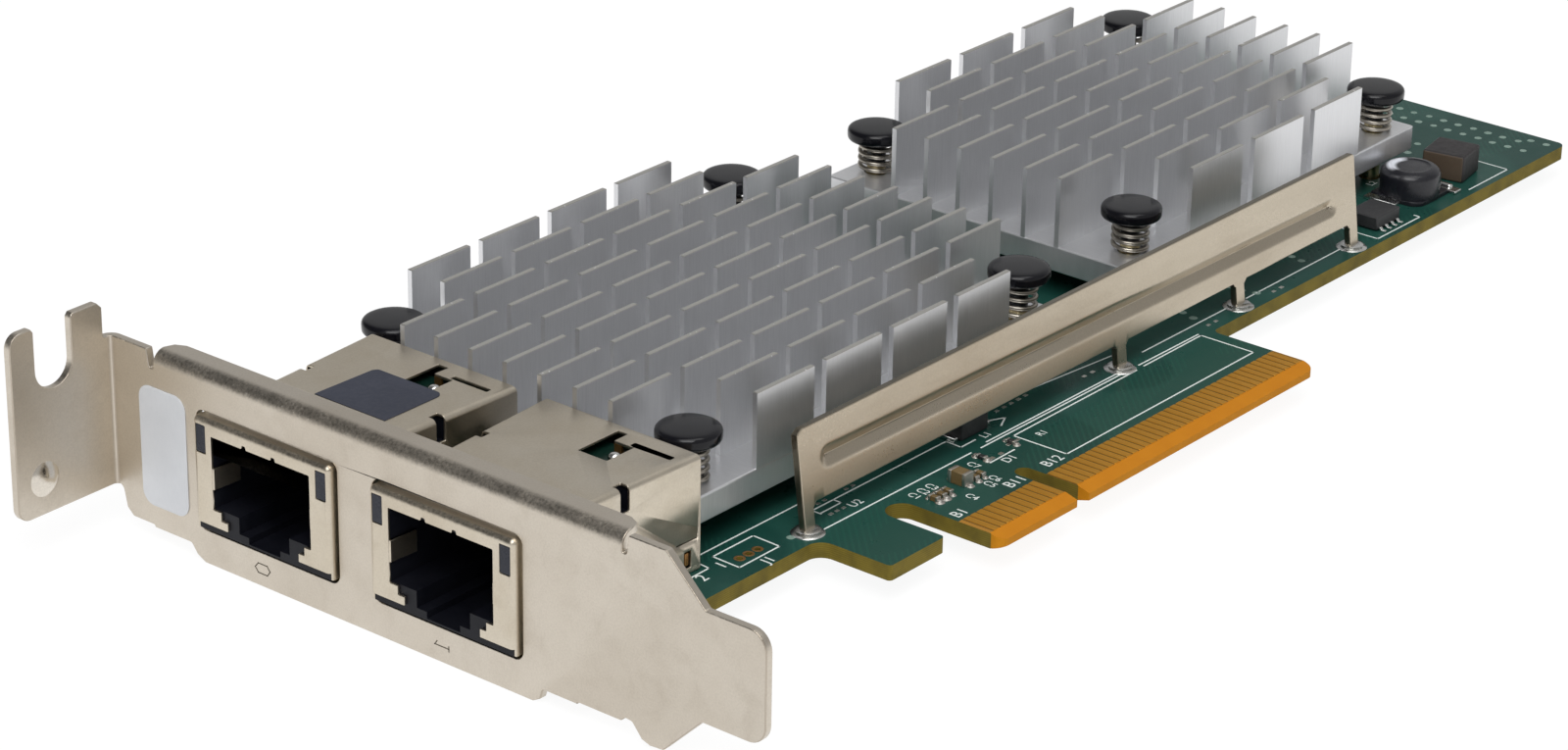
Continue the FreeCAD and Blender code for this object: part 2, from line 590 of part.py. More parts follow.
keep("threaded_inserts", fuse("InsertPair", insertShapes))

# Blank silver label on the strip between the flange and the far jack.
label = makeBody("Label", "YZ_Plane", [[(46.1, -0.1), (52.15, -0.1), (52.15, 12.0), (46.1, 12.0)]], 0.1, -0.1)
roundEdges(label, "LabelCorners", 1.4, lambda edge, middle: along(edge, "x"))
keep("bracket_label", label)


def makeJack(port, centre):
    """One shielded cable jack: sheet shield, moulded body, contact wires and two status lenses."""
    def plan(grow, front, rear):
        flare = (jackRearHalf - jackHalf) / (jackRear - jackStraight) * (rear - jackStraight) + grow
        return [(front, centre - jackHalf - grow), (jackStraight, centre - jackHalf - grow),
                (rear, centre - jackHalf - flare), (rear, centre + jackHalf + flare),
                (jackStraight, centre + jackHalf + grow), (front, centre + jackHalf + grow)]

    shell = makeBody(f"Shell{port}", "XY_Plane", [plan(0, -jackFront, jackRear)], jackHigh - 0.05, 0.05)

    def shellEdge(edge, middle):
        top = near(middle.z, jackHigh.value) and not near(middle.x, jackRear.value)
        front = near(middle.x, -jackFront.value) and middle.z > 1
        return top or front

    roundEdges(shell, f"ShellEdges{port}", 0.6, shellEdge)
    inner = makeBody(f"ShellInner{port}", "XY_Plane",
                     [plan(-shieldThick, -jackFront + shieldThick, jackRear - shieldThick)],
                     jackHigh - shieldThick + 1, -1)
    middle = centre + plugShift
    half = plugWide / 2
    opening = [(middle - half, plugStep), (middle - half + 0.85, plugStep), (middle - half + 0.85, plugKey),
               (middle - half + 1.6, plugKey), (middle - half + 1.6, -0.5), (middle + half - 1.8, -0.5),
               (middle + half - 1.8, plugKey), (middle + half - 1.0, plugKey), (middle + half - 1.0, plugStep),
               (middle + half, plugStep), (middle + half, plugHigh), (middle + 2.3, plugHigh),
               (middle + 2.2, plugHigh + 0.35), (middle + 1.8, plugHigh + 0.35), (middle + 1.7, plugHigh),
               (middle - 1.4, plugHigh), (middle - 1.5, plugHigh + 0.35), (middle - 1.9, plugHigh + 0.35),
               (middle - 2.0, plugHigh), (middle - half, plugHigh)]
    mouth = makeBody(f"Mouth{port}", "YZ_Plane", [opening], 1.2, -jackFront - 0.5)
    channel = [(middle - half, ledgeHigh), (middle - latchHalf, ledgeHigh), (middle - latchHalf, latchLow),
               (middle - latchSlotHalf, latchLow), (middle - latchSlotHalf, plugFloor),
               (middle + latchSlotHalf, plugFloor), (middle + latchSlotHalf, latchLow), (middle + latchHalf, latchLow),
               (middle + latchHalf, ledgeHigh), (middle + half, ledgeHigh), (middle + half, plugHigh),
               (middle - half, plugHigh)]
    frontFoot = makeBox(f"FrontFoot{port}", -jackFront - 0.5, centre - jackHalf - 1, -1, 0.5 + shieldThick + 0.01,
                        2 * jackHalf + 2, shieldFoot + 1)
    tools = [inner, mouth, frontFoot]
    lenses = []
    for side in (-1, 1):
        y = centre + side * lensSide - lensWide / 2
        tools.append(makeBox(f"LensCut{port}{side + 1}", -jackFront - 0.5, y, lensTop - lensHigh, 1.5, lensWide, lensHigh))
        lenses.append(makeBox(f"Lens{port}{side + 1}", -jackFront + 0.05, y + 0.03, lensTop - lensHigh + 0.03, 3.0,
                              lensWide - 0.06, lensHigh - 0.06))
    # the cut-out over the rear leads, and the slit that frees its spring finger
    tools.append(makeBox(f"TopHole{port}", 16.6, centre - 3.9, jackHigh - 1, 3.6, 3.45, 2))
    tools.append(makeBox(f"TopHoleRear{port}", 20.1, centre - 1.6, jackHigh - 1, 1.9, 1.15, 2))
    tools.append(makeBox(f"TopSlit{port}", 20.4, centre - 8.0, jackHigh - 1, 0.6, 4.6, 2))
    for side in (-1, 1):
        tools.append(makeBox(f"SideSlot{port}{side + 1}", 12.9, centre + side * 9.0 - 1.2, jackHigh - 2.4, 1.1, 2.4, 2.9))
        tools.append(makeBox(f"SideWindow{port}{side + 1}", 20.9, centre + side * 9.2 - 0.9, 0.6, 0.9, 1.8, 1.7))
    shield = cut(f"ShieldCut{port}", shell, fuse(f"ShieldTools{port}", tools))
    legs = []
    for side in (-1, 1):
        for place, x in enumerate(legXs):
            y = centre + side * legSide(x) - shieldThick / 2
            legs.append(makeBox(f"ShieldLeg{port}{side + 1}{place}", x - 0.5, y, -boardThick - 1.2, 1.0,
                                shieldThick, boardThick + 3.2))
    # a spring finger folded in from each side of the opening
    fingers = []
    for side in (-1, 1):
        root = middle + side * (half + 0.08)
        tip = middle + side * (half - 0.15)
        rootX = 0.12 - jackFront
        fingerPlan = [(rootX, root), (fingerLong - jackFront, tip), (fingerLong - jackFront, tip - side * 0.2),
                      (rootX, root - side * 0.24)]
        fingers.append(makeBody(f"Finger{port}{side + 1}", "XY_Plane", [fingerPlan], fingerHigh, fingerLow))
    keep(f"{port}_jack_shield", fuse(f"Shield{port}", [shield] + fingers + legs))

    gap = 0.02
    block = makeBody(f"Block{port}", "XY_Plane",
                     [plan(-shieldThick - gap, -jackFront + shieldThick + gap, asSize(15.5))],
                     jackHigh - shieldThick - gap, 0)
    cavity = makeBody(f"Cavity{port}", "YZ_Plane", [channel], jackFront + plugDeep - 0.5, -jackFront - 0.5)
    blockTools = [cavity]
    for side in (-1, 1):
        y = centre + side * lensSide - lensWide / 2
        blockTools.append(makeBox(f"LensPocket{port}{side + 1}", -jackFront - 0.5, y, lensTop - lensHigh, 4.0, lensWide,
                                  lensHigh))
    for number in range(8):
        y = middle + 1.02 * (number - 3.5)
        blockTools.append(makeBox(f"WireSlot{port}{number}", 1.4, y - 0.25, 4.8, 12.6, 0.5, 6.1))
        blockTools.append(makeBox(f"WireDrop{port}{number}", 12.6, y - 0.25, 1.0, 1.4, 0.5, 4.0))
    for side in (-1, 1):
        blockTools.append(makeBox(f"FingerRoom{port}{side + 1}", -jackFront - 0.5, middle + side * half - 0.3,
                                  fingerLow - 0.15, fingerLong + 0.7, 0.6, fingerHigh + 0.3))
    for side in (-1, 1):
        for place, x in enumerate(legXs[:1]):
            y = centre + side * legSide(x) - 0.3
            blockTools.append(makeBox(f"LegRoom{port}{side + 1}{place}", x - 0.8, y, -1, 1.6, 0.6, 4.2))
        blockTools.append(makeBox(f"SlotRoom{port}{side + 1}", 12.6, centre + side * 9.0 - 1.3, jackHigh - 2.6, 1.7, 2.6, 3))
    pegs = [makeCylinder(f"Peg{port}{side + 1}", pegX, centre + side * 5.7, -boardThick - 0.6, 1.05, boardThick + 0.7)
            for side in (-1, 1)]
    body = cut(f"BlockCut{port}", block, fuse(f"BlockTools{port}", blockTools))
    keep(f"{port}_jack_body", fuse(f"JackBody{port}", [body] + pegs))

    wires = []
    for number in range(8):
        y = middle + 1.02 * (number - 3.5)
        profile = [(1.6, 10.55), (1.6, 10.2), (2.0, 10.2), (9.6, 5.9), (10.0, 6.15), (2.3, 10.5), (12.9, 10.5),
                   (12.9, 1.4), (13.25, 1.4), (13.25, 10.8), (2.0, 10.8)]
        wire = makeBody(f"Wire{port}{number}", "XZ_Plane", [profile], 0.34, -y - 0.17)
        wires.append(wire)
    keep(f"{port}_jack_contacts", fuse(f"Wires{port}", wires))
    keep(f"{port}_jack_lenses", fuse(f"Lenses{port}", lenses))

    carrier = makeBody(f"Carrier{port}", "XY_Plane",
                       [[(15.52, centre - 8.2), (16.4, centre - 8.2), (16.4, centre + 8.2), (15.52, centre + 8.2)]],
                       jackHigh - 1.0, 0.0)
    coils = makeBox(f"Coils{port}", 16.4, centre - 7.6, 0.0, 5.4, 15.2, 5.6)
    legRoom = []
    for side in (-1, 1):
        y = centre + side * legSide(legXs[1]) - 0.3
        legRoom.append(makeBox(f"CarrierRoom{port}{side + 1}", legXs[1] - 0.8, y, -1, 1.6, 0.6, 4.2))
    magnetics = cut(f"MagneticsCut{port}", fuse(f"MagneticsBlank{port}", [carrier, coils]),
                    fuse(f"CarrierTools{port}", legRoom))
    keep(f"{port}_jack_magnetics", magnetics)
    leads = []
    for number, (owner, x, y) in enumerate(leadRows):
        if owner == port:
            leads.append(makeBox(f"Lead{port}{number}", x - 0.25, y - 0.25, -boardThick - 1.1, 0.5, 0.5, boardThick + 1.1))
    keep(f"{port}_jack_leads", fuse(f"Leads{port}", leads))


for port, centre in jackCentres.items():
    makeJack(port, centre)

sticker = makeBody("Sticker", "XY_Plane", [[
    (9.65, jackFarY - 5.5), (16.7, jackFarY - 5.5), (17.4, jackFarY - 4.8), (17.4, jackFarY + 2.6),
    (16.9, jackFarY + 3.1), (9.65, jackFarY + 3.4)]], 0.06, jackHigh)
keep("jack_sticker", sticker)


def makeSink(name, x, y, long, wide, rows, columns, pitch, cell, finLong, pins):
    """An extruded and cross-cut plate-fin heatsink with cleared corners for its push pins."""
    baseTop = sinkBaseLow + sinkBaseThick
    body = makeBody(name, "XY_Plane", [[(x, y), (x + long, y), (x + long, y + wide), (x, y + wide)]],
                    sinkBaseThick, sinkBaseLow)
    rowSketch = makeSketch(body, name + "RowOutline", "XY_Plane",
                           [[(x, y), (x + long, y), (x + long, y + finThick), (x, y + finThick)]], baseTop)
    row = body.newObject("PartDesign::Pad", name + "Row")
    row.Profile = rowSketch
    row.setExpression("Length", finHigh.text)
    body.Tip = row
    doc.recompute()
    addPattern(body, name + "Rows", row, "Y_Axis", pitch * (rows - 1), rows)
    slot = addPocket(body, name + "CrossCut", "XY_Plane",
                     [[(x + finLong, y - 1), (x + cell, y - 1), (x + cell, y + wide + 1), (x + finLong, y + wide + 1)]],
                     finHigh, baseTop + finHigh)
    addPattern(body, name + "CrossCuts", slot, "X_Axis", cell * (columns - 2), columns - 1)
    corners = []
    spanX = (cell + finLong) / 2
    spanY = pitch + finThick + 1.0
    for left in (x - 1, x + long - spanX):
        for low in (y - 1, y + wide - spanY):
            corners.append([(left, low), (left + spanX + 1, low), (left + spanX + 1, low + spanY + 1),
                            (left, low + spanY + 1)])
    addPocket(body, name + "Corners", "XY_Plane", corners, finHigh, baseTop + finHigh)
    addPocket(body, name + "PinHoles", "XY_Plane", [(px, py, pinHole) for px, py in pins], sinkBaseThick + 1,
              baseTop + 0.5)
    return body


frontSink = makeSink("FrontSink", frontSinkX, frontSinkY, frontSinkLong, frontSinkWide, frontRows, frontColumns,
                     frontFinPitch, frontFinCell, frontFinLong, frontPins)
keep("front_heatsink", frontSink)
rearSink = makeSink("RearSink", rearSinkX, rearSinkY, rearSinkLong, rearSinkWide, rearRows, rearColumns,
                    rearFinPitch, rearFinCell, rearFinLong, rearPins)
keep("rear_heatsink", rearSink)

# Chips and thermal pads under the heatsinks.
chipHigh = sinkBaseLow - padThick
for name, x, y, long, wide in (("front", frontSinkX, frontSinkY, frontSinkLong, frontSinkWide),
                               ("rear", rearSinkX, rearSinkY, rearSinkLong, rearSinkWide)):
    left = x + (long - chipLong) / 2
    low = y + (wide - chipLong) / 2
    carrier = makeBox(f"{name}Substrate", left - 1.5, low - 1.5, 0, chipLong + 3, chipLong + 3, 1.1)
    lid = makeBox(f"{name}Lid", left, low, 1.0, chipLong, chipLong, chipHigh - 1.0)
    keep(f"{name}_chip", fuse(f"{name}Chip", [carrier, lid]))
    keep(f"{name}_thermal_pad", makeBox(f"{name}Pad", left + 0.5, low + 0.5, chipHigh, chipLong - 1, chipLong - 1,
                                        padThick))

# Push pins: a mushroom cap on a split-barb shank, with a coil spring under the cap.
for name, pins, pinTop in (("front", frontPins, frontPinTop), ("rear", rearPins, rearPinTop)):
    caps = []
    shanks = []
    springs = []
    baseTop = sinkBaseLow + sinkBaseThick
    capLow = pinTop - pinCapHigh
    for number, (x, y) in enumerate(pins):
        rim = makeCylinder(f"{name}CapRim{number}", x, y, capLow + 0.3, pinCapRadius, pinCapHigh - 0.6)
        under = makeCone(f"{name}CapUnder{number}", x, y, capLow, pinCapRadius - 0.35, pinCapRadius, 0.3)
        over = makeCone(f"{name}CapOver{number}", x, y, pinTop - 0.3, pinCapRadius, pinCapRadius - 0.4, 0.3)
        caps.append(fuse(f"{name}Cap{number}", [rim, under, over]))
        shank = makeCylinder(f"{name}Shank{number}", x, y, -boardThick - 0.12, pinShank, capLow + boardThick + 0.12)
        barb = makeCone(f"{name}Barb{number}", x, y, pinTip, 0.55, 1.5, -pinTip - boardThick - 0.12)
        slit = makeBox(f"{name}Slit{number}", x - 2, y - 0.2, pinTip - 0.1, 4, 0.4, -pinTip - boardThick + 1.2)
        shanks.append(cut(f"{name}Pin{number}", fuse(f"{name}PinBlank{number}", [shank, barb]), slit))
        coilLow = baseTop + springWire + 0.02
        coilHigh = capLow - springWire - 0.02
        helix = doc.addObject("Part::Helix", f"{name}Coil{number}")
        helix.SegmentLength = 0
        bind(helix, x=x, y=y, z=coilLow, Radius=springRadius, Height=coilHigh - coilLow,
             Pitch=(coilHigh - coilLow) / springTurns)
        ring = doc.addObject("Part::RegularPolygon", f"{name}Wire{number}")
        ring.Polygon = 8
        ring.Placement.Rotation = FreeCAD.Rotation(FreeCAD.Vector(1, 0, 0), 90)
        bind(ring, x=x + springRadius, y=y, z=coilLow, Circumradius=springWire)
        doc.recompute()
        sweep = doc.addObject("Part::Sweep", f"{name}Spring{number}")
        sweep.Sections = [ring]
        sweep.Spine = (helix, [f"Edge{place + 1}" for place in range(len(helix.Shape.Edges))])
        sweep.Solid = True
        sweep.Frenet = True
        springs.append(sweep)
    keep(f"{name}_pin_caps", fuse(f"{name}Caps", caps))
    keep(f"{name}_pin_shanks", fuse(f"{name}Shanks", shanks))
    keep(f"{name}_pin_springs", fuse(f"{name}Springs", springs))

# Stiffener rail: a leaning sheet strip on four soldered feet, with a long pressed rib.
footDeep = boardThick - 0.2
railOutline = [(0, railHigh - 0.5), (0, -footDeep), (footWide, -footDeep), (footWide, 1.4), (footWide + 0.5, 2.0),
               (footWide + 2.0, railLow), ]
for centre in (49.8, 70.6):
    railOutline += [(centre - footWide / 2 - 0.4, railLow), (centre - footWide / 2, railLow - 0.4),
                    (centre - footWide / 2, -footDeep), (centre + footWide / 2, -footDeep),
                    (centre + footWide / 2, railLow - 0.4), (centre + footWide / 2 + 0.4, railLow)]
railOutline += [(railLong - footWide - 0.4, railLow), (railLong - footWide, railLow - 0.4),
                (railLong - footWide, -footDeep), (railLong, -footDeep), (railLong, railHigh - 0.3),
                (railLong - 0.3, railHigh), (0.8, railHigh)]
rail = makeBody("RailSheet", "XZ_Plane", [railOutline], railThick, -railThick / 2)
ribHalf = ribHigh / 2
ribFrom = asSize(2.9)
ribTo = asSize(89.0)


def ribLoop(grow):
    """The rib's outline: a long bar with rounded ends, falling a little along the rail."""
    reach = ribHalf + grow
    far = ribMiddle - ribDrop
    left = ribFrom + ribHalf
    right = ribTo - ribHalf
    bend = reach * 0.707
    return [(left, ribMiddle + reach), (left - bend, ribMiddle + bend), (left - reach, ribMiddle),
            (left - bend, ribMiddle - bend), (left, ribMiddle - reach), (right, far - reach),
            (right + bend, far - bend), (right + reach, far), (right + bend, far + bend), (right, far + reach)]


groove = makeBody("RibGroove", "XZ_Plane", [ribLoop(0)], ribDeep + 0.5, railThick / 2 - ribDeep)
ridge = makeBody("RibRidge", "XZ_Plane", [ribLoop(0.2)], ribDeep + 0.05, -railThick / 2 - ribDeep)
railSolid = cut("RailCut", fuse("RailBlank", [rail, ridge]), groove)
railSolid.Placement.Rotation = FreeCAD.Rotation(FreeCAD.Vector(-1, 0, 0), railLean.value)
bind(railSolid, x=railX, y=railY)
railSolid.setExpression("Placement.Rotation.Angle", railLean.text)
keep("stiffener_rail", railSolid)
fillets = []
feet = []
for number, x in enumerate(footCentres):
    fillets.append(makeCone(f"RailSolder{number}", x, railY, 0, 1.65, 1.0, 0.45))
    slot = makeBox(f"RailSolderSlot{number}", x - footWide / 2 - 0.02, railY - railThick / 2 - 0.03, -1,
                   footWide + 0.04, railThick + 0.12, 3)
    feet.append(slot)
keep("rail_solder", cut("RailSolderCut", fuse("RailSolderBlank", fillets), fuse("RailSolderSlots", feet)))

# Parts on the board.
roundCase = makeCylinder("CoilCase", 143.0, 5.1, 0.4, 3.3, 3.0)
roundFoot = makeBox("CoilBase", 139.9, 2.0, 0, 6.2, 6.2, 0.5)
keep("round_inductor", fuse("RoundInductor", [roundCase, roundFoot]))
keep("inductor_terminals", fuse("CoilTerminals", [
    makeBox("CoilTerminal0", 146.1, 1.2, 0, 1.3, 4.2, 0.4), makeBox("CoilTerminal1", 138.59, 4.2, 0, 1.3, 4.0, 0.4)]))
filmBlock = makeBox("FilmBlock", 149.5, 2.35, 0.0, 4.8, 4.9, 3.1)
filmBlock.Placement.Rotation = FreeCAD.Rotation(FreeCAD.Vector(0, 0, 1), 10)
keep("film_capacitor", filmBlock)
powerPackage = makeBox("PowerPackage", 131.4, 1.9, 0.1, 4.6, 3.7, 1.5)
keep("power_chip", powerPackage)
powerLeads = []
for number in range(4):
    for side, y in enumerate((1.2, 5.6)):
        powerLeads.append(makeBox(f"PowerLead{number}{side}", 131.85 + 1.1 * number, y, 0, 0.4, 0.7, 0.3))
keep("power_chip_leads", fuse("PowerLeads", powerLeads))
keep("rail_inductor", makeBox("RailInductor", 60.0, 3.0, 0, 4.2, 2.9, 2.3))
keep("rail_inductor_terminals", fuse("RailInductorTerminals", [
    makeBox("RailTerminal0", 59.2, 3.3, 0, 0.8, 2.3, 0.5), makeBox("RailTerminal1", 64.2, 3.3, 0, 0.8, 2.3, 0.5)]))


def smallPart(name, x, y, long, wide, high, endWide):
    """A chip part lying along Y: body, then its two end caps, as three boxes."""
    body = makeBox(name + "Body", x - wide / 2, y - long / 2 + endWide, 0, wide, long - 2 * endWide, high)
    ends = [makeBox(f"{name}End{side}", x - wide / 2 - 0.02, y - long / 2 + side * (long - endWide), 0, wide + 0.04,
                    endWide, high + 0.02) for side in (0, 1)]
    return body, ends


capacitorPlaces = [("StoreCap", 52.75, -2.4, 2.1, 1.3, 1.3, 0.4), ("CapA", 48.1, -2.9, 1.1, 0.55, 0.5, 0.25),
                   ("CapB", 49.1, -2.9, 1.1, 0.55, 0.5, 0.25), ("CapC", 50.1, -2.9, 1.1, 0.55, 0.5, 0.25),
                   ("CapD", 54.1, -2.9, 1.1, 0.55, 0.5, 0.25), ("CapE", 55.1, -2.9, 1.1, 0.55, 0.5, 0.25),
                   ("CapF", 85.2, 30.0, 1.6, 0.8, 0.8, 0.3), ("CapG", 87.2, 30.0, 1.6, 0.8, 0.8, 0.3),
                   ("CapH", 85.2, 41.0, 1.6, 0.8, 0.8, 0.3), ("CapI", 155.6, 30.0, 1.6, 0.8, 0.8, 0.3),
                   ("CapJ", 157.6, 30.0, 1.6, 0.8, 0.8, 0.3), ("CapK", 155.6, 42.0, 1.6, 0.8, 0.8, 0.3)]
resistorPlaces = [("ResA", 58.3, -0.7, 1.1, 0.55, 0.35, 0.25), ("ResB", 62.95, -0.7, 1.1, 0.55, 0.35, 0.25),
                  ("ResC", 90.4, 22.0, 1.1, 0.55, 0.35, 0.25), ("ResD", 91.6, 22.0, 1.1, 0.55, 0.35, 0.25),
                  ("ResE", 152.6, 20.0, 1.1, 0.55, 0.35, 0.25), ("ResF", 154.0, 20.0, 1.1, 0.55, 0.35, 0.25)]
capacitorBodies = []
resistorBodies = []
endCaps = []
for place in capacitorPlaces:
    body, ends = smallPart(*place)
    capacitorBodies.append(body)
    endCaps += ends
for place in resistorPlaces:
    body, ends = smallPart(*place)
    resistorBodies.append(body)
    endCaps += ends
keep("chip_capacitors", fuse("ChipCapacitors", capacitorBodies))
keep("chip_resistors", fuse("ChipResistors", resistorBodies))
keep("chip_part_terminals", fuse("ChipEnds", endCaps))
memoryBody = makeBox("MemoryBody", 85.2, 11.0, 0.1, 5.0, 3.9, 1.5)
keep("memory_chip", memoryBody)
memoryLeads = []
for number in range(4):
    for side, y in enumerate((10.0, 14.9)):
        memoryLeads.append(makeBox(f"MemoryLead{number}{side}", 85.55 + 1.27 * number, y, 0, 0.42, 1.0, 0.3))
keep("memory_chip_leads", fuse("MemoryLeads", memoryLeads))
keep("clock_crystal", makeBox("ClockCrystal", 84.6, 20.0, 0, 3.2, 5.0, 1.2))

doc.recompute()
problems = []
for item in doc.Objects:
    if "Invalid" in item.State or "Error" in item.State:
        problems.append(f"{item.Name} is {item.State}")
for name, item in nodes.items():
    if item.Shape.isNull() or not item.Shape.isValid():
        problems.append(name + " has no valid shape")
if problems:
    raise ValueError("; ".join(problems))

os.makedirs("parts", exist_ok=True)
for name, item in nodes.items():
    item.Shape.exportStep(f"parts/{name}.step")
    print(name, len(item.Shape.Solids), round(item.Shape.Volume, 2))
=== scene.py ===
import math

import bmesh
import bpy
from mathutils import Matrix, Vector


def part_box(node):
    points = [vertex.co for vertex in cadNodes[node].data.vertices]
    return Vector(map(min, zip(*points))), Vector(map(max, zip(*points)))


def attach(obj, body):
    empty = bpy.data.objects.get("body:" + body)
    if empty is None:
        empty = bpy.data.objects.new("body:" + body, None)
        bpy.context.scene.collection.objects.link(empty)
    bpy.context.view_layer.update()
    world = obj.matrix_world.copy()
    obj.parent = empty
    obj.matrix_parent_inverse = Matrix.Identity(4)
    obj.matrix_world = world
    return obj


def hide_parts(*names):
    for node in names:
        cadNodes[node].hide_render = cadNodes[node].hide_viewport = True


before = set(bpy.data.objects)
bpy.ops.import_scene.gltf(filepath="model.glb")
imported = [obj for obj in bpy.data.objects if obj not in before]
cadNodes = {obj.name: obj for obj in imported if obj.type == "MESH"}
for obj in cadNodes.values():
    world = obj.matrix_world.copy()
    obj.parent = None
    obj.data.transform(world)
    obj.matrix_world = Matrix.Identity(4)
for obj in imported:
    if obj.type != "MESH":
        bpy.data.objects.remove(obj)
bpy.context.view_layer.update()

mm = 0.001
boardUnder = -1.57  # the board's underside, in mm
scene = bpy.context.scene
print("frame loaded:", len(cadNodes), "solids")


# small tools
def addNode(tree, kind, inputs=None, **settings):  # a node with its settings and its wires or values
    node = tree.nodes.new(kind)
    for key, value in settings.items():
        setattr(node, key, value)
    for key, value in (inputs or {}).items():
        if isinstance(value, bpy.types.NodeSocket):
            tree.links.new(value, node.inputs[key])
        else:
            node.inputs[key].default_value = value
    return node


def makeObject(name, mesh):
    piece = bpy.data.objects.new(name, mesh)
    scene.collection.objects.link(piece)
    return piece


def closeMesh(mesh, merge=1e-7):  # doubles merged, faces outward
    work = bmesh.new()
    work.from_mesh(mesh)
    bmesh.ops.remove_doubles(work, verts=work.verts, dist=merge)
    bmesh.ops.dissolve_degenerate(work, edges=work.edges, dist=merge)
    bmesh.ops.recalc_face_normals(work, faces=work.faces)
    work.to_mesh(mesh)
    work.free()


def makeMesh(name, points, faces):  # points in millimetres
    mesh = bpy.data.meshes.new(name)
    mesh.from_pydata([(x * mm, y * mm, z * mm) for x, y, z in points], [], faces)
    closeMesh(mesh)
    return mesh


def joinMeshes(name, meshes):
    work = bmesh.new()
    for mesh in meshes:
        work.from_mesh(mesh)
    joined = bpy.data.meshes.new(name)
    work.to_mesh(joined)
    work.free()
    return joined


def bakePiece(piece):  # modifiers worked into a plain mesh
    graph = bpy.context.evaluated_depsgraph_get()
    graph.update()
    mesh = bpy.data.meshes.new_from_object(piece.evaluated_get(graph))
    piece.modifiers.clear()
    if piece.type == "MESH":
        piece.data = mesh
        return piece
    name = piece.name
    stand = piece.matrix_world.copy()
    bpy.data.objects.remove(piece)
    mesh.transform(stand)
    return makeObject(name, mesh)


def soften(piece, width, steps=2, angle=32):  # rolled edges, flat faces kept flat
    bevel = piece.modifiers.new("edges", "BEVEL")
    bevel.width = width * mm
    bevel.segments = steps
    bevel.limit_method = "ANGLE"
    bevel.angle_limit = math.radians(angle)
    bevel.use_clamp_overlap = False
    bevel.miter_outer = "MITER_ARC"
    bakePiece(piece)
    smooth(piece, 40)
    return piece


def smooth(piece, angle=35):
    mesh = piece.data
    mesh.polygons.foreach_set("use_smooth", [True] * len(mesh.polygons))
    mesh.set_sharp_from_angle(angle=math.radians(angle))
    weigh = piece.modifiers.new("normals", "WEIGHTED_NORMAL")
    weigh.keep_sharp = True
    bakePiece(piece)


def setFinish(piece, finish):
    piece.data.materials.clear()
    piece.data.materials.append(finish)


def finishPiece(piece, finish, slot, *replaced):
    if finish is not None:
        setFinish(piece, finish)
    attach(piece, "root")
    if replaced:
        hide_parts(*replaced)
    return piece


def copySolid(node, name):  # a merged copy of a CAD solid's mesh with its flat faces made whole
    mesh = cadNodes[node].data.copy()
    work = bmesh.new()
    work.from_mesh(mesh)
    bmesh.ops.remove_doubles(work, verts=work.verts, dist=2e-7)
    bmesh.ops.dissolve_limit(work, angle_limit=math.radians(0.6), verts=work.verts, edges=work.edges)
    work.to_mesh(mesh)
    work.free()
    mesh.name = name
    return makeObject(name, mesh)


def drawPlate(name, loops, thick, edge=0.0, steps=1):  # a flat curve with thickness, made a mesh; loops in mm
    curve = bpy.data.curves.new(name, "CURVE")
    curve.dimensions = "2D"
    curve.fill_mode = "BOTH"
    curve.extrude = (thick / 2 - edge) * mm
    curve.bevel_depth = edge * mm
    curve.bevel_resolution = steps
    curve.offset = -edge * mm
    for loop in loops:
        spline = curve.splines.new("POLY")
        spline.points.add(len(loop) - 1)
        for point, (x, y) in zip(spline.points, loop):
            point.co = (x * mm, y * mm, 0, 1)
        spline.use_cyclic_u = True
    piece = bakePiece(makeObject(name, curve))
    closeMesh(piece.data, 2e-7)
    return piece


def place(piece, matrix):
    piece.data.transform(matrix)
    piece.data.update()
    return piece


def frameOf(origin, across, up):  # a plate's X goes across, its Y up, its thickness along their cross product
    x = Vector(across).normalized()
    y = Vector(up).normalized()
    z = x.cross(y)
    matrix = Matrix((x, y, z)).transposed().to_4x4()
    matrix.translation = Vector(origin) * mm
    return matrix


def shiftBy(x, y, z):  # a move in mm
    return Matrix.Translation(Vector((x, y, z)) * mm)


def boxLoop(left, low, right, high):
    return [(left, low), (right, low), (right, high), (left, high)]


def roundLoop(corners, radius, steps=5):  # a polygon with rounded corners
    loop = []
    count = len(corners)
    for number, corner in enumerate(corners):
        here = Vector(corner)
        before = Vector(corners[number - 1]) - here
        after = Vector(corners[(number + 1) % count]) - here
        size = radius[number] if isinstance(radius, (list, tuple)) else radius
        if size <= 0:
            loop.append(tuple(here))
            continue
        half = before.angle(after) / 2
        reach = min(size / math.tan(half), before.length * 0.49, after.length * 0.49)
        size = reach * math.tan(half)
        centre = here + (before.normalized() + after.normalized()).normalized() * (size / math.sin(half))
        start = here + before.normalized() * reach - centre
        turn = math.pi - 2 * half
        if start.cross(here + after.normalized() * reach - centre) < 0:
            turn = -turn
        for step in range(steps + 1):
            angle = turn * step / steps
            loop.append((centre.x + start.x * math.cos(angle) - start.y * math.sin(angle),
                         centre.y + start.x * math.sin(angle) + start.y * math.cos(angle)))
    return loop


def circleLoop(x, y, radius, steps=24):
    return [(x + radius * math.cos(2 * math.pi * k / steps), y + radius * math.sin(2 * math.pi * k / steps))
            for k in range(steps)]


def turnProfile(name, profile, steps=32):  # (radius, height) pairs turned about Z, closed at both poles
    points = []
    for k in range(steps):
        angle = 2 * math.pi * k / steps
        points += [(r * math.cos(angle), r * math.sin(angle), z) for r, z in profile]
    faces = []
    rows = len(profile)
    for k in range(steps):
        after = (k + 1) % steps
        for row in range(rows - 1):
            faces.append((k * rows + row, after * rows + row, after * rows + row + 1, k * rows + row + 1))
    return makeMesh(name, points, faces)


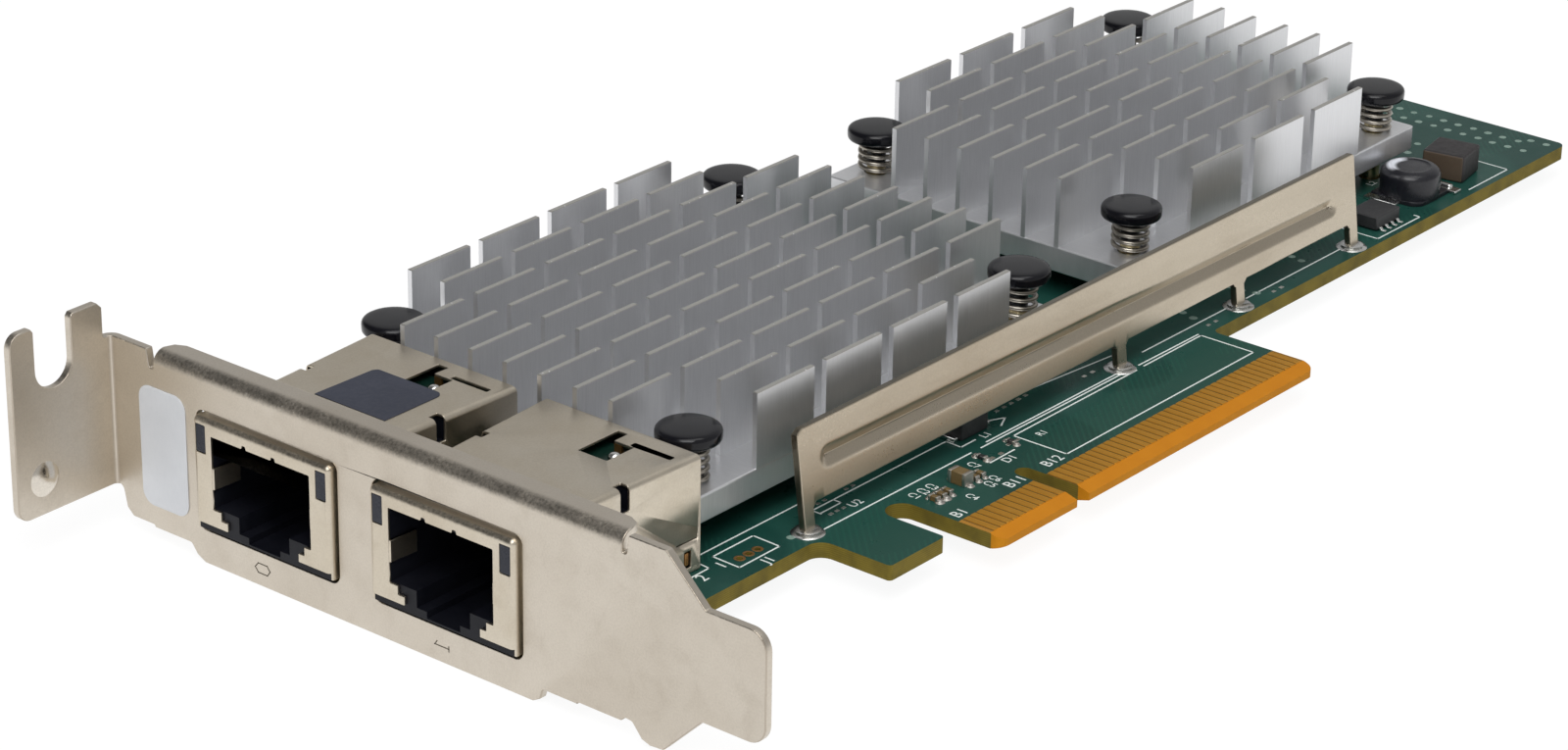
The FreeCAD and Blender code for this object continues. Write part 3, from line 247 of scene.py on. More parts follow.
boxFaces = [(3, 2, 1, 0), (4, 5, 6, 7), (0, 1, 5, 4), (1, 2, 6, 5), (2, 3, 7, 6), (3, 0, 4, 7)]


def boxMesh(name, low, high):
    (a, b, c), (d, e, f) = low, high
    points = [(a, b, c), (d, b, c), (d, e, c), (a, e, c), (a, b, f), (d, b, f), (d, e, f), (a, e, f)]
    return makeMesh(name, points, boxFaces)


# node trees that repeat things
def newTree(name, sizes):
    tree = bpy.data.node_groups.new(name, "GeometryNodeTree")
    tree.interface.new_socket("Geometry", in_out="INPUT", socket_type="NodeSocketGeometry")
    tree.interface.new_socket("Geometry", in_out="OUTPUT", socket_type="NodeSocketGeometry")
    for label, kind in sizes:
        tree.interface.new_socket(label, in_out="INPUT", socket_type="NodeSocket" + kind)
    return tree, tree.nodes.new("NodeGroupInput"), tree.nodes.new("NodeGroupOutput")


def closeTree(tree, geometry, group, out):  # real meshes with their finish, as the last two nodes
    real = addNode(tree, "GeometryNodeRealizeInstances", {"Geometry": geometry})
    paint = addNode(tree, "GeometryNodeSetMaterial", {"Geometry": real.outputs[0], "Material": group.outputs["Finish"]})
    tree.links.new(paint.outputs[0], out.inputs[0])


def runTree(piece, tree, values):
    work = piece.modifiers.new(tree.name, "NODES")
    work.node_group = tree
    for item in tree.interface.items_tree:
        if item.in_out == "INPUT" and item.name in values:
            work[item.identifier] = values[item.name]
    return bakePiece(piece)


def mathNode(tree, operation, first, second=0.0):
    node = addNode(tree, "ShaderNodeMath", {0: first, 1: second}, operation=operation)
    return node.outputs[0]


def makeRepeatTree():  # one piece set on every point, each turned and scaled a little by chance
    tree, group, out = newTree("repeatAtPoints", [("Piece", "Object"), ("Turn", "Float"), ("Turn Spread", "Float"),
                                                  ("Size Spread", "Float"), ("Seed", "Int"), ("Finish", "Material")])
    source = addNode(tree, "GeometryNodeObjectInfo", {"Object": group.outputs["Piece"]})
    chance = addNode(tree, "FunctionNodeRandomValue", {"Seed": group.outputs["Seed"], 2: -1.0, 3: 1.0})
    spin = mathNode(tree, "MULTIPLY_ADD", chance.outputs[1], group.outputs["Turn Spread"])
    tree.links.new(group.outputs["Turn"], spin.node.inputs[2])
    turn = addNode(tree, "ShaderNodeCombineXYZ", {"Z": spin})
    grow = mathNode(tree, "MULTIPLY_ADD", chance.outputs[1], group.outputs["Size Spread"])
    grow.node.inputs[2].default_value = 1.0
    copies = addNode(tree, "GeometryNodeInstanceOnPoints",
                     {"Points": group.outputs[0], "Instance": source.outputs["Geometry"], "Rotation": turn.outputs[0],
                      "Scale": grow})
    closeTree(tree, copies.outputs[0], group, out)
    return tree


def makeFinTree():  # fins in rows and columns with the corners left free
    tree, group, out = newTree("finGrid", [
        ("Rows", "Int"), ("Columns", "Int"), ("Row Pitch", "Float"), ("Column Pitch", "Float"),
        ("Fin Length", "Float"), ("Fin Thick", "Float"), ("Fin Height", "Float"), ("Edge", "Float"),
        ("Start", "Vector"), ("Finish", "Material")])
    size = group.outputs
    lastColumn = mathNode(tree, "SUBTRACT", size["Columns"], 1.0)
    lastRow = mathNode(tree, "SUBTRACT", size["Rows"], 1.0)
    spanX = mathNode(tree, "MULTIPLY", lastColumn, size["Column Pitch"])
    spanY = mathNode(tree, "MULTIPLY", lastRow, size["Row Pitch"])
    grid = addNode(tree, "GeometryNodeMeshGrid", {"Size X": spanX, "Size Y": spanY, "Vertices X": size["Columns"],
                                                  "Vertices Y": size["Rows"]})
    centre = addNode(tree, "ShaderNodeCombineXYZ", {"X": mathNode(tree, "DIVIDE", spanX, 2.0),
                                                    "Y": mathNode(tree, "DIVIDE", spanY, 2.0)})
    seat = addNode(tree, "ShaderNodeVectorMath", {0: centre.outputs[0], 1: size["Start"]}, operation="ADD")
    index = addNode(tree, "GeometryNodeInputIndex")
    column = mathNode(tree, "FLOOR", mathNode(tree, "DIVIDE", index.outputs[0], size["Rows"]))
    row = mathNode(tree, "MODULO", index.outputs[0], size["Rows"])
    columnEnd = mathNode(tree, "MINIMUM", column, mathNode(tree, "SUBTRACT", lastColumn, column))
    rowEnd = mathNode(tree, "MINIMUM", row, mathNode(tree, "SUBTRACT", lastRow, row))
    free = mathNode(tree, "MULTIPLY", mathNode(tree, "LESS_THAN", columnEnd, 0.5),
                    mathNode(tree, "LESS_THAN", rowEnd, 1.5))
    kept = addNode(tree, "GeometryNodeDeleteGeometry", {"Geometry": grid.outputs[0], "Selection": free},
                   domain="POINT")
    blankLong = mathNode(tree, "SUBTRACT", size["Fin Length"], mathNode(tree, "MULTIPLY", size["Edge"], 2.0))
    blankThick = mathNode(tree, "SUBTRACT", size["Fin Thick"], mathNode(tree, "MULTIPLY", size["Edge"], 2.0))
    blank = addNode(tree, "GeometryNodeMeshGrid", {"Size X": size["Fin Length"], "Size Y": size["Fin Thick"],
                                                   "Vertices X": 2, "Vertices Y": 2})
    straight = mathNode(tree, "SUBTRACT", size["Fin Height"], size["Edge"])
    shaft = addNode(tree, "GeometryNodeExtrudeMesh", {"Mesh": blank.outputs[0], "Offset Scale": straight})
    top = addNode(tree, "GeometryNodeExtrudeMesh", {"Mesh": shaft.outputs[0], "Selection": shaft.outputs["Top"],
                                                    "Offset Scale": size["Edge"]})
    shrinkX = mathNode(tree, "DIVIDE", blankLong, size["Fin Length"])
    shrinkY = mathNode(tree, "DIVIDE", blankThick, size["Fin Thick"])
    narrow = top
    for axis, shrink in (((1, 0, 0), shrinkX), ((0, 1, 0), shrinkY)):
        scaled = addNode(tree, "GeometryNodeScaleElements", {"Geometry": narrow.outputs[0],
                                                             "Selection": top.outputs["Top"], "Scale": shrink,
                                                             "Axis": axis}, scale_mode="SINGLE_AXIS")
        narrow = scaled
    foot = addNode(tree, "GeometryNodeFlipFaces", {"Mesh": blank.outputs[0]})
    whole = tree.nodes.new("GeometryNodeJoinGeometry")
    tree.links.new(foot.outputs[0], whole.inputs[0])
    tree.links.new(narrow.outputs[0], whole.inputs[0])
    fin = addNode(tree, "GeometryNodeMergeByDistance", {"Geometry": whole.outputs[0], "Distance": 1e-7})
    copies = addNode(tree, "GeometryNodeInstanceOnPoints", {"Points": kept.outputs[0], "Instance": fin.outputs[0]})
    moved = addNode(tree, "GeometryNodeTransform", {"Geometry": copies.outputs[0], "Translation": seat.outputs[0]})
    closeTree(tree, moved.outputs[0], group, out)
    return tree


def makeSpringTree():  # a coil swept from a round wire, on every point
    tree, group, out = newTree("coilSpring", [("Turns", "Float"), ("Radius", "Float"), ("Height", "Float"),
                                              ("Wire", "Float"), ("Finish", "Material")])
    size = group.outputs
    main = addNode(tree, "GeometryNodeCurveSpiral", {"Resolution": 36, "Rotations": size["Turns"],
                                                     "Start Radius": size["Radius"], "End Radius": size["Radius"],
                                                     "Height": size["Height"]})
    wire = addNode(tree, "GeometryNodeCurvePrimitiveCircle", {"Resolution": 8, "Radius": size["Wire"]})
    sweep = addNode(tree, "GeometryNodeCurveToMesh", {"Curve": main.outputs[0], "Profile Curve": wire.outputs[0],
                                                      "Fill Caps": True})
    copies = addNode(tree, "GeometryNodeInstanceOnPoints", {"Points": size[0], "Instance": sweep.outputs[0]})
    closeTree(tree, copies.outputs[0], group, out)
    return tree


repeatTree = makeRepeatTree()
finTree = makeFinTree()
springTree = makeSpringTree()


def repeatPiece(name, prototype, points, finish, turn=0.0, turnSpread=0.0, sizeSpread=0.0, seed=1):
    mould = makeObject(name + "Mould", prototype)
    mesh = bpy.data.meshes.new(name)
    mesh.from_pydata([(x * mm, y * mm, z * mm) for x, y, z in points], [], [])
    field = makeObject(name, mesh)
    runTree(field, repeatTree, {"Piece": mould, "Turn": turn, "Turn Spread": turnSpread, "Size Spread": sizeSpread,
                                "Seed": seed, "Finish": finish})
    bpy.data.objects.remove(mould)
    return field


print("node trees built")

# finishes
def startFinish(name):
    finish = bpy.data.materials.new(name)
    finish.use_nodes = True
    tree = finish.node_tree
    shader = tree.nodes["Principled BSDF"]
    where = addNode(tree, "ShaderNodeTexCoord").outputs["Object"]
    return finish, tree, shader, where


def mapped(tree, where, scale=(1, 1, 1), turn=(0, 0, 0)):
    return addNode(tree, "ShaderNodeMapping", {"Vector": where, "Scale": scale, "Rotation": turn}).outputs[0]


def noise(tree, where, scale, detail=3.0, rough=0.55, twist=0.0):
    return addNode(tree, "ShaderNodeTexNoise", {"Vector": where, "Scale": scale, "Detail": detail, "Roughness": rough,
                                                "Distortion": twist}).outputs["Fac"]


def ramp(tree, value, low, high, start=0.0, end=1.0):  # a value spread between two ends
    return addNode(tree, "ShaderNodeMapRange", {"Value": value, "From Min": low, "From Max": high, "To Min": start,
                                                "To Max": end}).outputs[0]


def blendColour(tree, factor, first, second):
    node = tree.nodes.new("ShaderNodeMix")
    node.data_type = "RGBA"
    for socket, value in ((0, factor), (6, first), (7, second)):
        if isinstance(value, bpy.types.NodeSocket):
            tree.links.new(value, node.inputs[socket])
        elif socket == 0:
            node.inputs[0].default_value = value
        else:
            node.inputs[socket].default_value = (*value, 1.0)
    return node.outputs[2]


def addBump(tree, shader, height, strength, depth):
    bump = addNode(tree, "ShaderNodeBump", {"Height": height, "Strength": strength, "Distance": depth})
    tree.links.new(bump.outputs[0], shader.inputs["Normal"])


def setShader(shader, **values):
    for label, value in values.items():
        shader.inputs[label.replace("_", " ")].default_value = value


def axesOf(tree, vector):  # a vector's three parts
    return addNode(tree, "ShaderNodeSeparateXYZ", {"Vector": vector}).outputs


def placeOf(tree):  # where a point is, in the object's own axes
    return axesOf(tree, addNode(tree, "ShaderNodeTexCoord").outputs["Object"])


def facingOf(tree):  # the way a face looks, in the object's own axes
    return axesOf(tree, addNode(tree, "ShaderNodeTexCoord").outputs["Normal"])


def overlay(finish, factor, colour):  # another colour laid over a finish
    tree = finish.node_tree
    base = tree.nodes["Principled BSDF"].inputs["Base Color"]
    tree.links.new(blendColour(tree, factor, base.links[0].from_socket, colour), base)


sheetTones = {"sawn": (0.15, 0.135, 0.1), "foldInnerShade": (0.4, 0.34, 0.27), "stretchedGrainShade": (0.2, 0.18, 0.15),
              "paintedGlint": (1.0, 0.97, 0.9), "fleckShade": 0.55}


def makeSheetMetal(name, colour, dull, rough, grain=0.25, streak=(1, 1, 1), bend=False, cut=False, fold=False):
    finish, tree, shader, where = startFinish(name)
    cloud = noise(tree, where, 55.0, 4.0, 0.6)
    smear = noise(tree, mapped(tree, where, streak), 320.0, 5.0, 0.65, 0.4)
    fleck = noise(tree, where, 5200.0, 2.0, 0.6)
    flecked = tuple(part * sheetTones["fleckShade"] for part in colour)
    base = blendColour(tree, ramp(tree, cloud, 0.42, 0.68, 0.0, 0.5), colour, dull)
    base = blendColour(tree, ramp(tree, smear, 0.5, 0.78, 0.0, 0.35), base, dull)
    base = blendColour(tree, ramp(tree, fleck, 0.35, 0.7, 0.0, 0.16), base, flecked)
    facing = facingOf(tree)
    height = 0.0
    if cut:  # sawn edges are darker than the rolled faces
        edge = ramp(tree, mathNode(tree, "ABSOLUTE", facing[1]), 0.5, 0.7, 0.8, 0.0)
        base = blendColour(tree, edge, base, sheetTones["sawn"])
    if fold:  # painted shade in the inner corner of a fold, narrowing the highlight along it
        corner = mathNode(tree, "MINIMUM", mathNode(tree, "MULTIPLY", facing[0], -1.0),
                          mathNode(tree, "MULTIPLY", facing[1], -1.0))
        corner = mathNode(tree, "MULTIPLY", ramp(tree, corner, 0.1, 0.3), ramp(tree, corner, 0.68, 0.6))
        base = blendColour(tree, mathNode(tree, "MULTIPLY", corner, 0.7), base, sheetTones["foldInnerShade"])
    if bend:  # grainy plating on a bend facing up and forward: real grain darkened with painted shade, and painted glints on a few grains
        slope = mathNode(tree, "MINIMUM", facing[2], mathNode(tree, "MULTIPLY", facing[0], -1.0))
        bent = ramp(tree, slope, 0.12, 0.5)
        grains = noise(tree, where, 3400.0, 3.0, 0.7)
        dark = mathNode(tree, "MULTIPLY", bent, ramp(tree, grains, 0.35, 0.6, 0.75, 0.1))
        base = blendColour(tree, dark, base, sheetTones["stretchedGrainShade"])
        # painted glints: a few grains near white
        glintMask = mathNode(tree, "MULTIPLY", bent, ramp(tree, grains, 0.66, 0.74, 0.0, 0.9))
        base = blendColour(tree, glintMask, base, sheetTones["paintedGlint"])
        height = mathNode(tree, "MULTIPLY", mathNode(tree, "MULTIPLY", bent, grains), 1.6)
    tree.links.new(base, shader.inputs["Base Color"])
    tone = mathNode(tree, "ADD", ramp(tree, smear, 0.3, 0.75, rough - 0.05, rough + 0.09),
                    ramp(tree, fleck, 0.3, 0.7, -0.03, 0.05))
    tree.links.new(tone, shader.inputs["Roughness"])
    setShader(shader, Metallic=1.0)
    pits = noise(tree, where, 2600.0, 3.0, 0.6)
    waves = noise(tree, where, 160.0, 2.0, 0.5)
    height = mathNode(tree, "ADD", mathNode(tree, "MULTIPLY", pits, 0.35), height)
    addBump(tree, shader, mathNode(tree, "ADD", height, waves), grain, 0.00006)
    return finish


def makePlastic(name, colour, light, rough, grain=0.2, scale=1500.0, shine=0.5):
    finish, tree, shader, where = startFinish(name)
    cloud = noise(tree, where, 240.0, 3.0)
    fine = noise(tree, where, scale, 3.0, 0.6)
    base = blendColour(tree, ramp(tree, cloud, 0.35, 0.7, 0.0, 0.6), colour, light)
    base = blendColour(tree, ramp(tree, fine, 0.55, 0.8, 0.0, 0.35), base, light)
    tree.links.new(base, shader.inputs["Base Color"])
    tree.links.new(ramp(tree, fine, 0.3, 0.75, rough - 0.05, rough + 0.1), shader.inputs["Roughness"])
    setShader(shader, Specular_IOR_Level=shine)
    addBump(tree, shader, fine, grain, 0.00003)
    return finish


drum = {"centre": (143.0, 5.1), "radius": 3.3, "low": 0.4, "high": 3.4, "footHalf": 3.1, "footThick": 0.5,
        "highlightRing": (1.5, 1.9, 2.4, 2.8), "highlightFrom": 3.1, "paintedHighlight": (0.74, 0.76, 0.82)}


def makeFerrite(name):  # dark drum with a painted crescent highlight, pale, on the far left of its crown
    finish = makePlastic(name, (0.008, 0.008, 0.012), (0.016, 0.016, 0.021), 0.3, 0.2)
    tree = finish.node_tree
    spot = placeOf(tree)
    x, y = [mathNode(tree, "SUBTRACT", spot[k], drum["centre"][k] * mm) for k in (0, 1)]
    square = mathNode(tree, "ADD", mathNode(tree, "MULTIPLY", x, x), mathNode(tree, "MULTIPLY", y, y))
    reach = mathNode(tree, "SQRT", square)
    inner, full, fading, outer = [radius * mm for radius in drum["highlightRing"]]
    # painted highlight: part of a ring on the crown, on one side only
    ring = mathNode(tree, "MULTIPLY", ramp(tree, reach, inner, full), ramp(tree, reach, outer, fading))
    ahead = mathNode(tree, "ADD", mathNode(tree, "MULTIPLY", x, -0.25), mathNode(tree, "MULTIPLY", y, 0.97))
    bead = mathNode(tree, "MULTIPLY", ring, ramp(tree, mathNode(tree, "DIVIDE", ahead, reach), 0.45, 0.8))
    bead = mathNode(tree, "MULTIPLY", bead, mathNode(tree, "GREATER_THAN", spot[2], drum["highlightFrom"] * mm))
    overlay(finish, bead, drum["paintedHighlight"])
    return finish


def makeFilmBlock(name):  # near-black case, browner on its faces towards -X
    finish = makePlastic(name, (0.016, 0.013, 0.014), (0.028, 0.024, 0.025), 0.5, 0.35)
    tree = finish.node_tree
    overlay(finish, mathNode(tree, "LESS_THAN", facingOf(tree)[0], -0.8), (0.085, 0.06, 0.04))
    return finish


sinkTones = {"sawn": (0.745, 0.75, 0.765), "pale": (0.815, 0.82, 0.835), "cloud": (0.7, 0.705, 0.72),
             "speck": (0.95, 0.95, 0.96), "finTopShade": (0.5, 0.485, 0.455), "topGlint": (1.0, 1.0, 1.0), "topsFrom": 12.0}


def makeAluminium(name):  # cut and tumbled aluminium: soft grey with saw marks up the fins and pale specks
    finish, tree, shader, where = startFinish(name)
    saw = noise(tree, mapped(tree, where, (6.0, 1.0, 0.35)), 900.0, 3.0, 0.6)
    cloud = noise(tree, where, 90.0, 3.0)
    speck = addNode(tree, "ShaderNodeTexVoronoi", {"Vector": where, "Scale": 900.0}).outputs["Distance"]
    base = blendColour(tree, ramp(tree, saw, 0.3, 0.72), sinkTones["sawn"], sinkTones["pale"])
    base = blendColour(tree, ramp(tree, cloud, 0.4, 0.7, 0.0, 0.3), base, sinkTones["cloud"])
    base = blendColour(tree, ramp(tree, speck, 0.02, 0.07, 0.5, 0.0), base, sinkTones["speck"])
    high = mathNode(tree, "GREATER_THAN", axesOf(tree, where)[2], sinkTones["topsFrom"] * mm)
    top = mathNode(tree, "MULTIPLY", ramp(tree, facingOf(tree)[2], 0.2, 0.6), high)  # upward faces of the cropped tops, darker and warmer: painted shade
    # painted glints: white spots on those tops
    topGlint = ramp(tree, noise(tree, where, 1900.0, 2.0), 0.68, 0.74)
    base = blendColour(tree, top, base, blendColour(tree, topGlint, sinkTones["finTopShade"], sinkTones["topGlint"]))
    tree.links.new(base, shader.inputs["Base Color"])
    tree.links.new(ramp(tree, saw, 0.3, 0.75, 0.29, 0.37), shader.inputs["Roughness"])
    setShader(shader, Metallic=0.82)
    addBump(tree, shader, saw, 0.07, 0.00004)
    return finish


contacts = {"count": 49, "beforeNotch": 11, "first": 47.13, "pitch": 1.0, "step": 3.0, "wide": 0.78, "inner": 7.35,
            "outer": 10.95, "thick": 0.05, "lineHalf": 0.085}
boardTones = {"mask": (0.01, 0.053, 0.042), "pour": (0.015, 0.067, 0.053), "trace": (0.02, 0.1, 0.072),
              "weave": (0.03, 0.11, 0.08), "land": (0.51, 0.178, 0.005), "landPale": (0.59, 0.225, 0.009),
              "between": (0.4, 0.19, 0.03), "line": (0.14, 0.085, 0.018), "rim": (0.165, 0.125, 0.018),
              "rimPale": (0.225, 0.172, 0.028), "rimStain": (0.06, 0.05, 0.012), "tip": (0.5, 0.19, 0.006),
              "tipPale": (0.59, 0.24, 0.01)}
boardZones = {"maskTo": -7.16, "bareFrom": 44.5, "contactsTo": -10.93, "tipFrom": -11.1, "ragged": 0.35}  # in mm


def makeBoardFinish(name):  # dark green mask over traces, a bare cut edge, and the orange land round the fingers
    finish, tree, shader, where = startFinish(name)
    x, y = axesOf(tree, where)[:2]
    side = mathNode(tree, "ABSOLUTE", facingOf(tree)[2])
    cell = addNode(tree, "ShaderNodeTexVoronoi", {"Vector": mapped(tree, where, (1.0, 1.0, 0.0)), "Scale": 190.0},
                   distance="CHEBYCHEV", feature="DISTANCE_TO_EDGE")
    wave = addNode(tree, "ShaderNodeTexWave", {"Vector": mapped(tree, where, (1, 1, 0), (0, 0, 0.785)), "Scale": 520.0,
                                               "Distortion": 0.0}, wave_type="BANDS")
    lane = noise(tree, mapped(tree, where, (0.35, 1.0, 0.0)), 120.0, 1.0)
    trace = mathNode(tree, "MULTIPLY", mathNode(tree, "GREATER_THAN", wave.outputs["Fac"], 0.72),
                     mathNode(tree, "GREATER_THAN", lane, 0.56))
    threads = [addNode(tree, "ShaderNodeTexWave", {"Vector": where, "Scale": 700.0}, wave_type="BANDS",
                       bands_direction=way).outputs["Fac"] for way in ("X", "Y")]
    weave = mathNode(tree, "MULTIPLY", *threads)
    pour = ramp(tree, noise(tree, mapped(tree, where, (1, 1, 0)), 38.0, 1.0), 0.5, 0.52)
    green = blendColour(tree, pour, boardTones["mask"], boardTones["pour"])
    green = blendColour(tree, mathNode(tree, "MULTIPLY", trace, 0.3), green, boardTones["trace"])
    green = blendColour(tree, ramp(tree, weave, 0.0, 1.0, 0.0, 0.06), green, boardTones["weave"])
    green = blendColour(tree, ramp(tree, cell.outputs["Distance"], 0.0, 0.0001, 0.12, 0.0), green, boardTones["trace"])
    fuzz = noise(tree, where, 420.0, 4.0)
    edge = mathNode(tree, "ADD", y, mathNode(tree, "MULTIPLY", fuzz, boardZones["ragged"] * mm))
    bare = mathNode(tree, "LESS_THAN", edge, boardZones["maskTo"] * mm)
    bare = mathNode(tree, "MULTIPLY", bare, mathNode(tree, "GREATER_THAN", x, boardZones["bareFrom"] * mm))
    land = blendColour(tree, fuzz, boardTones["land"], boardTones["landPale"])
    gap = mathNode(tree, "MULTIPLY", bare, mathNode(tree, "GREATER_THAN", y, boardZones["contactsTo"] * mm))
    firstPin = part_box("component_side_contacts")[0][0] + contacts["wide"] / 2 * mm
    step = mathNode(tree, "MULTIPLY", mathNode(tree, "SUBTRACT", x, firstPin), 1 / (contacts["pitch"] * mm))
    offLine = mathNode(tree, "SUBTRACT", mathNode(tree, "FRACT", step), 0.5)  # from halfway between two contacts
    line = mathNode(tree, "LESS_THAN", mathNode(tree, "ABSOLUTE", offLine), contacts["lineHalf"])
    between = blendColour(tree, line, boardTones["between"], boardTones["line"])
    face = blendColour(tree, gap, blendColour(tree, bare, green, land), between)
    layers = addNode(tree, "ShaderNodeTexWave", {"Vector": where, "Scale": 1500.0, "Distortion": 1.5},
                     wave_type="BANDS", bands_direction="Z").outputs["Fac"]
    rim = blendColour(tree, layers, boardTones["rim"], boardTones["rimPale"])
    rim = blendColour(tree, ramp(tree, fuzz, 0.4, 0.75, 0.0, 0.6), rim, boardTones["rimStain"])
    tip = mathNode(tree, "LESS_THAN", y, boardZones["tipFrom"] * mm)
    rim = blendColour(tree, tip, rim, blendColour(tree, fuzz, boardTones["tip"], boardTones["tipPale"]))
    upright = mathNode(tree, "LESS_THAN", side, 0.93)
    tree.links.new(blendColour(tree, upright, face, rim), shader.inputs["Base Color"])
    gloss = ramp(tree, fuzz, 0.3, 0.7, 0.26, 0.36)
    rougher = mathNode(tree, "MAXIMUM", mathNode(tree, "MULTIPLY", upright, 0.62),
                       mathNode(tree, "MULTIPLY", bare, 0.5))
    tree.links.new(mathNode(tree, "MAXIMUM", gloss, rougher), shader.inputs["Roughness"])
    setShader(shader, Specular_IOR_Level=0.14)
    height = mathNode(tree, "ADD", mathNode(tree, "MULTIPLY", weave, 0.08), mathNode(tree, "MULTIPLY", fuzz, 0.5))
    height = mathNode(tree, "ADD", mathNode(tree, "MULTIPLY", trace, 0.5), height)
    addBump(tree, shader, height, 0.25, 0.00003)
    return finish


def makePlating(name, colour, dark, rough):  # plated contacts with rub marks along the way a socket wipes them
    finish, tree, shader, where = startFinish(name)
    rub = noise(tree, mapped(tree, where, (9.0, 0.8, 1.0)), 700.0, 4.0, 0.6)
    cloud = noise(tree, where, 160.0, 2.0)
    base = blendColour(tree, ramp(tree, rub, 0.35, 0.75), colour, dark)
    base = blendColour(tree, ramp(tree, cloud, 0.45, 0.7, 0.0, 0.35), base, dark)
    tree.links.new(base, shader.inputs["Base Color"])
    tree.links.new(ramp(tree, rub, 0.3, 0.7, rough, rough + 0.14), shader.inputs["Roughness"])
    setShader(shader, Metallic=1.0)
    addBump(tree, shader, rub, 0.25, 0.00002)
    return finish


brass = ((0.74, 0.64, 0.4), (0.6, 0.48, 0.26), 0.24)


def makeShankFinish(name, stemFrom):  # brass foot, dark stem inside the spring
    finish = makePlating(name, *brass)
    tree = finish.node_tree
    stem = mathNode(tree, "GREATER_THAN", placeOf(tree)[2], stemFrom * mm)
    overlay(finish, stem, (0.012, 0.012, 0.013))
    tree.links.new(mathNode(tree, "SUBTRACT", 1.0, stem), tree.nodes["Principled BSDF"].inputs["Metallic"])
    return finish


def makePaper(name, colour, dark):  # satin silver-white label stock
    finish, tree, shader, where = startFinish(name)
    fibre = noise(tree, mapped(tree, where, (1, 2.4, 1)), 1300.0, 4.0, 0.65)
    cloud = noise(tree, where, 130.0, 3.0)
    base = blendColour(tree, ramp(tree, cloud, 0.4, 0.7, 0.0, 0.7), colour, dark)
    base = blendColour(tree, ramp(tree, fibre, 0.45, 0.75, 0.0, 0.3), base, dark)
    tree.links.new(base, shader.inputs["Base Color"])
    tree.links.new(ramp(tree, fibre, 0.3, 0.7, 0.42, 0.55), shader.inputs["Roughness"])
    setShader(shader, Metallic=0.15)
    addBump(tree, shader, mathNode(tree, "ADD", fibre, cloud), 0.2, 0.00003)
    return finish


def makeInk(name):
    finish, tree, shader, where = startFinish(name)
    worn = noise(tree, where, 2600.0, 3.0, 0.7)
    base = blendColour(tree, ramp(tree, worn, 0.5, 0.75), (0.8, 0.84, 0.82), (0.6, 0.66, 0.63))
    tree.links.new(base, shader.inputs["Base Color"])
    tree.links.new(ramp(tree, worn, 0.3, 0.7, 0.5, 0.7), shader.inputs["Roughness"])
    addBump(tree, shader, worn, 0.2, 0.00001)
    return finish


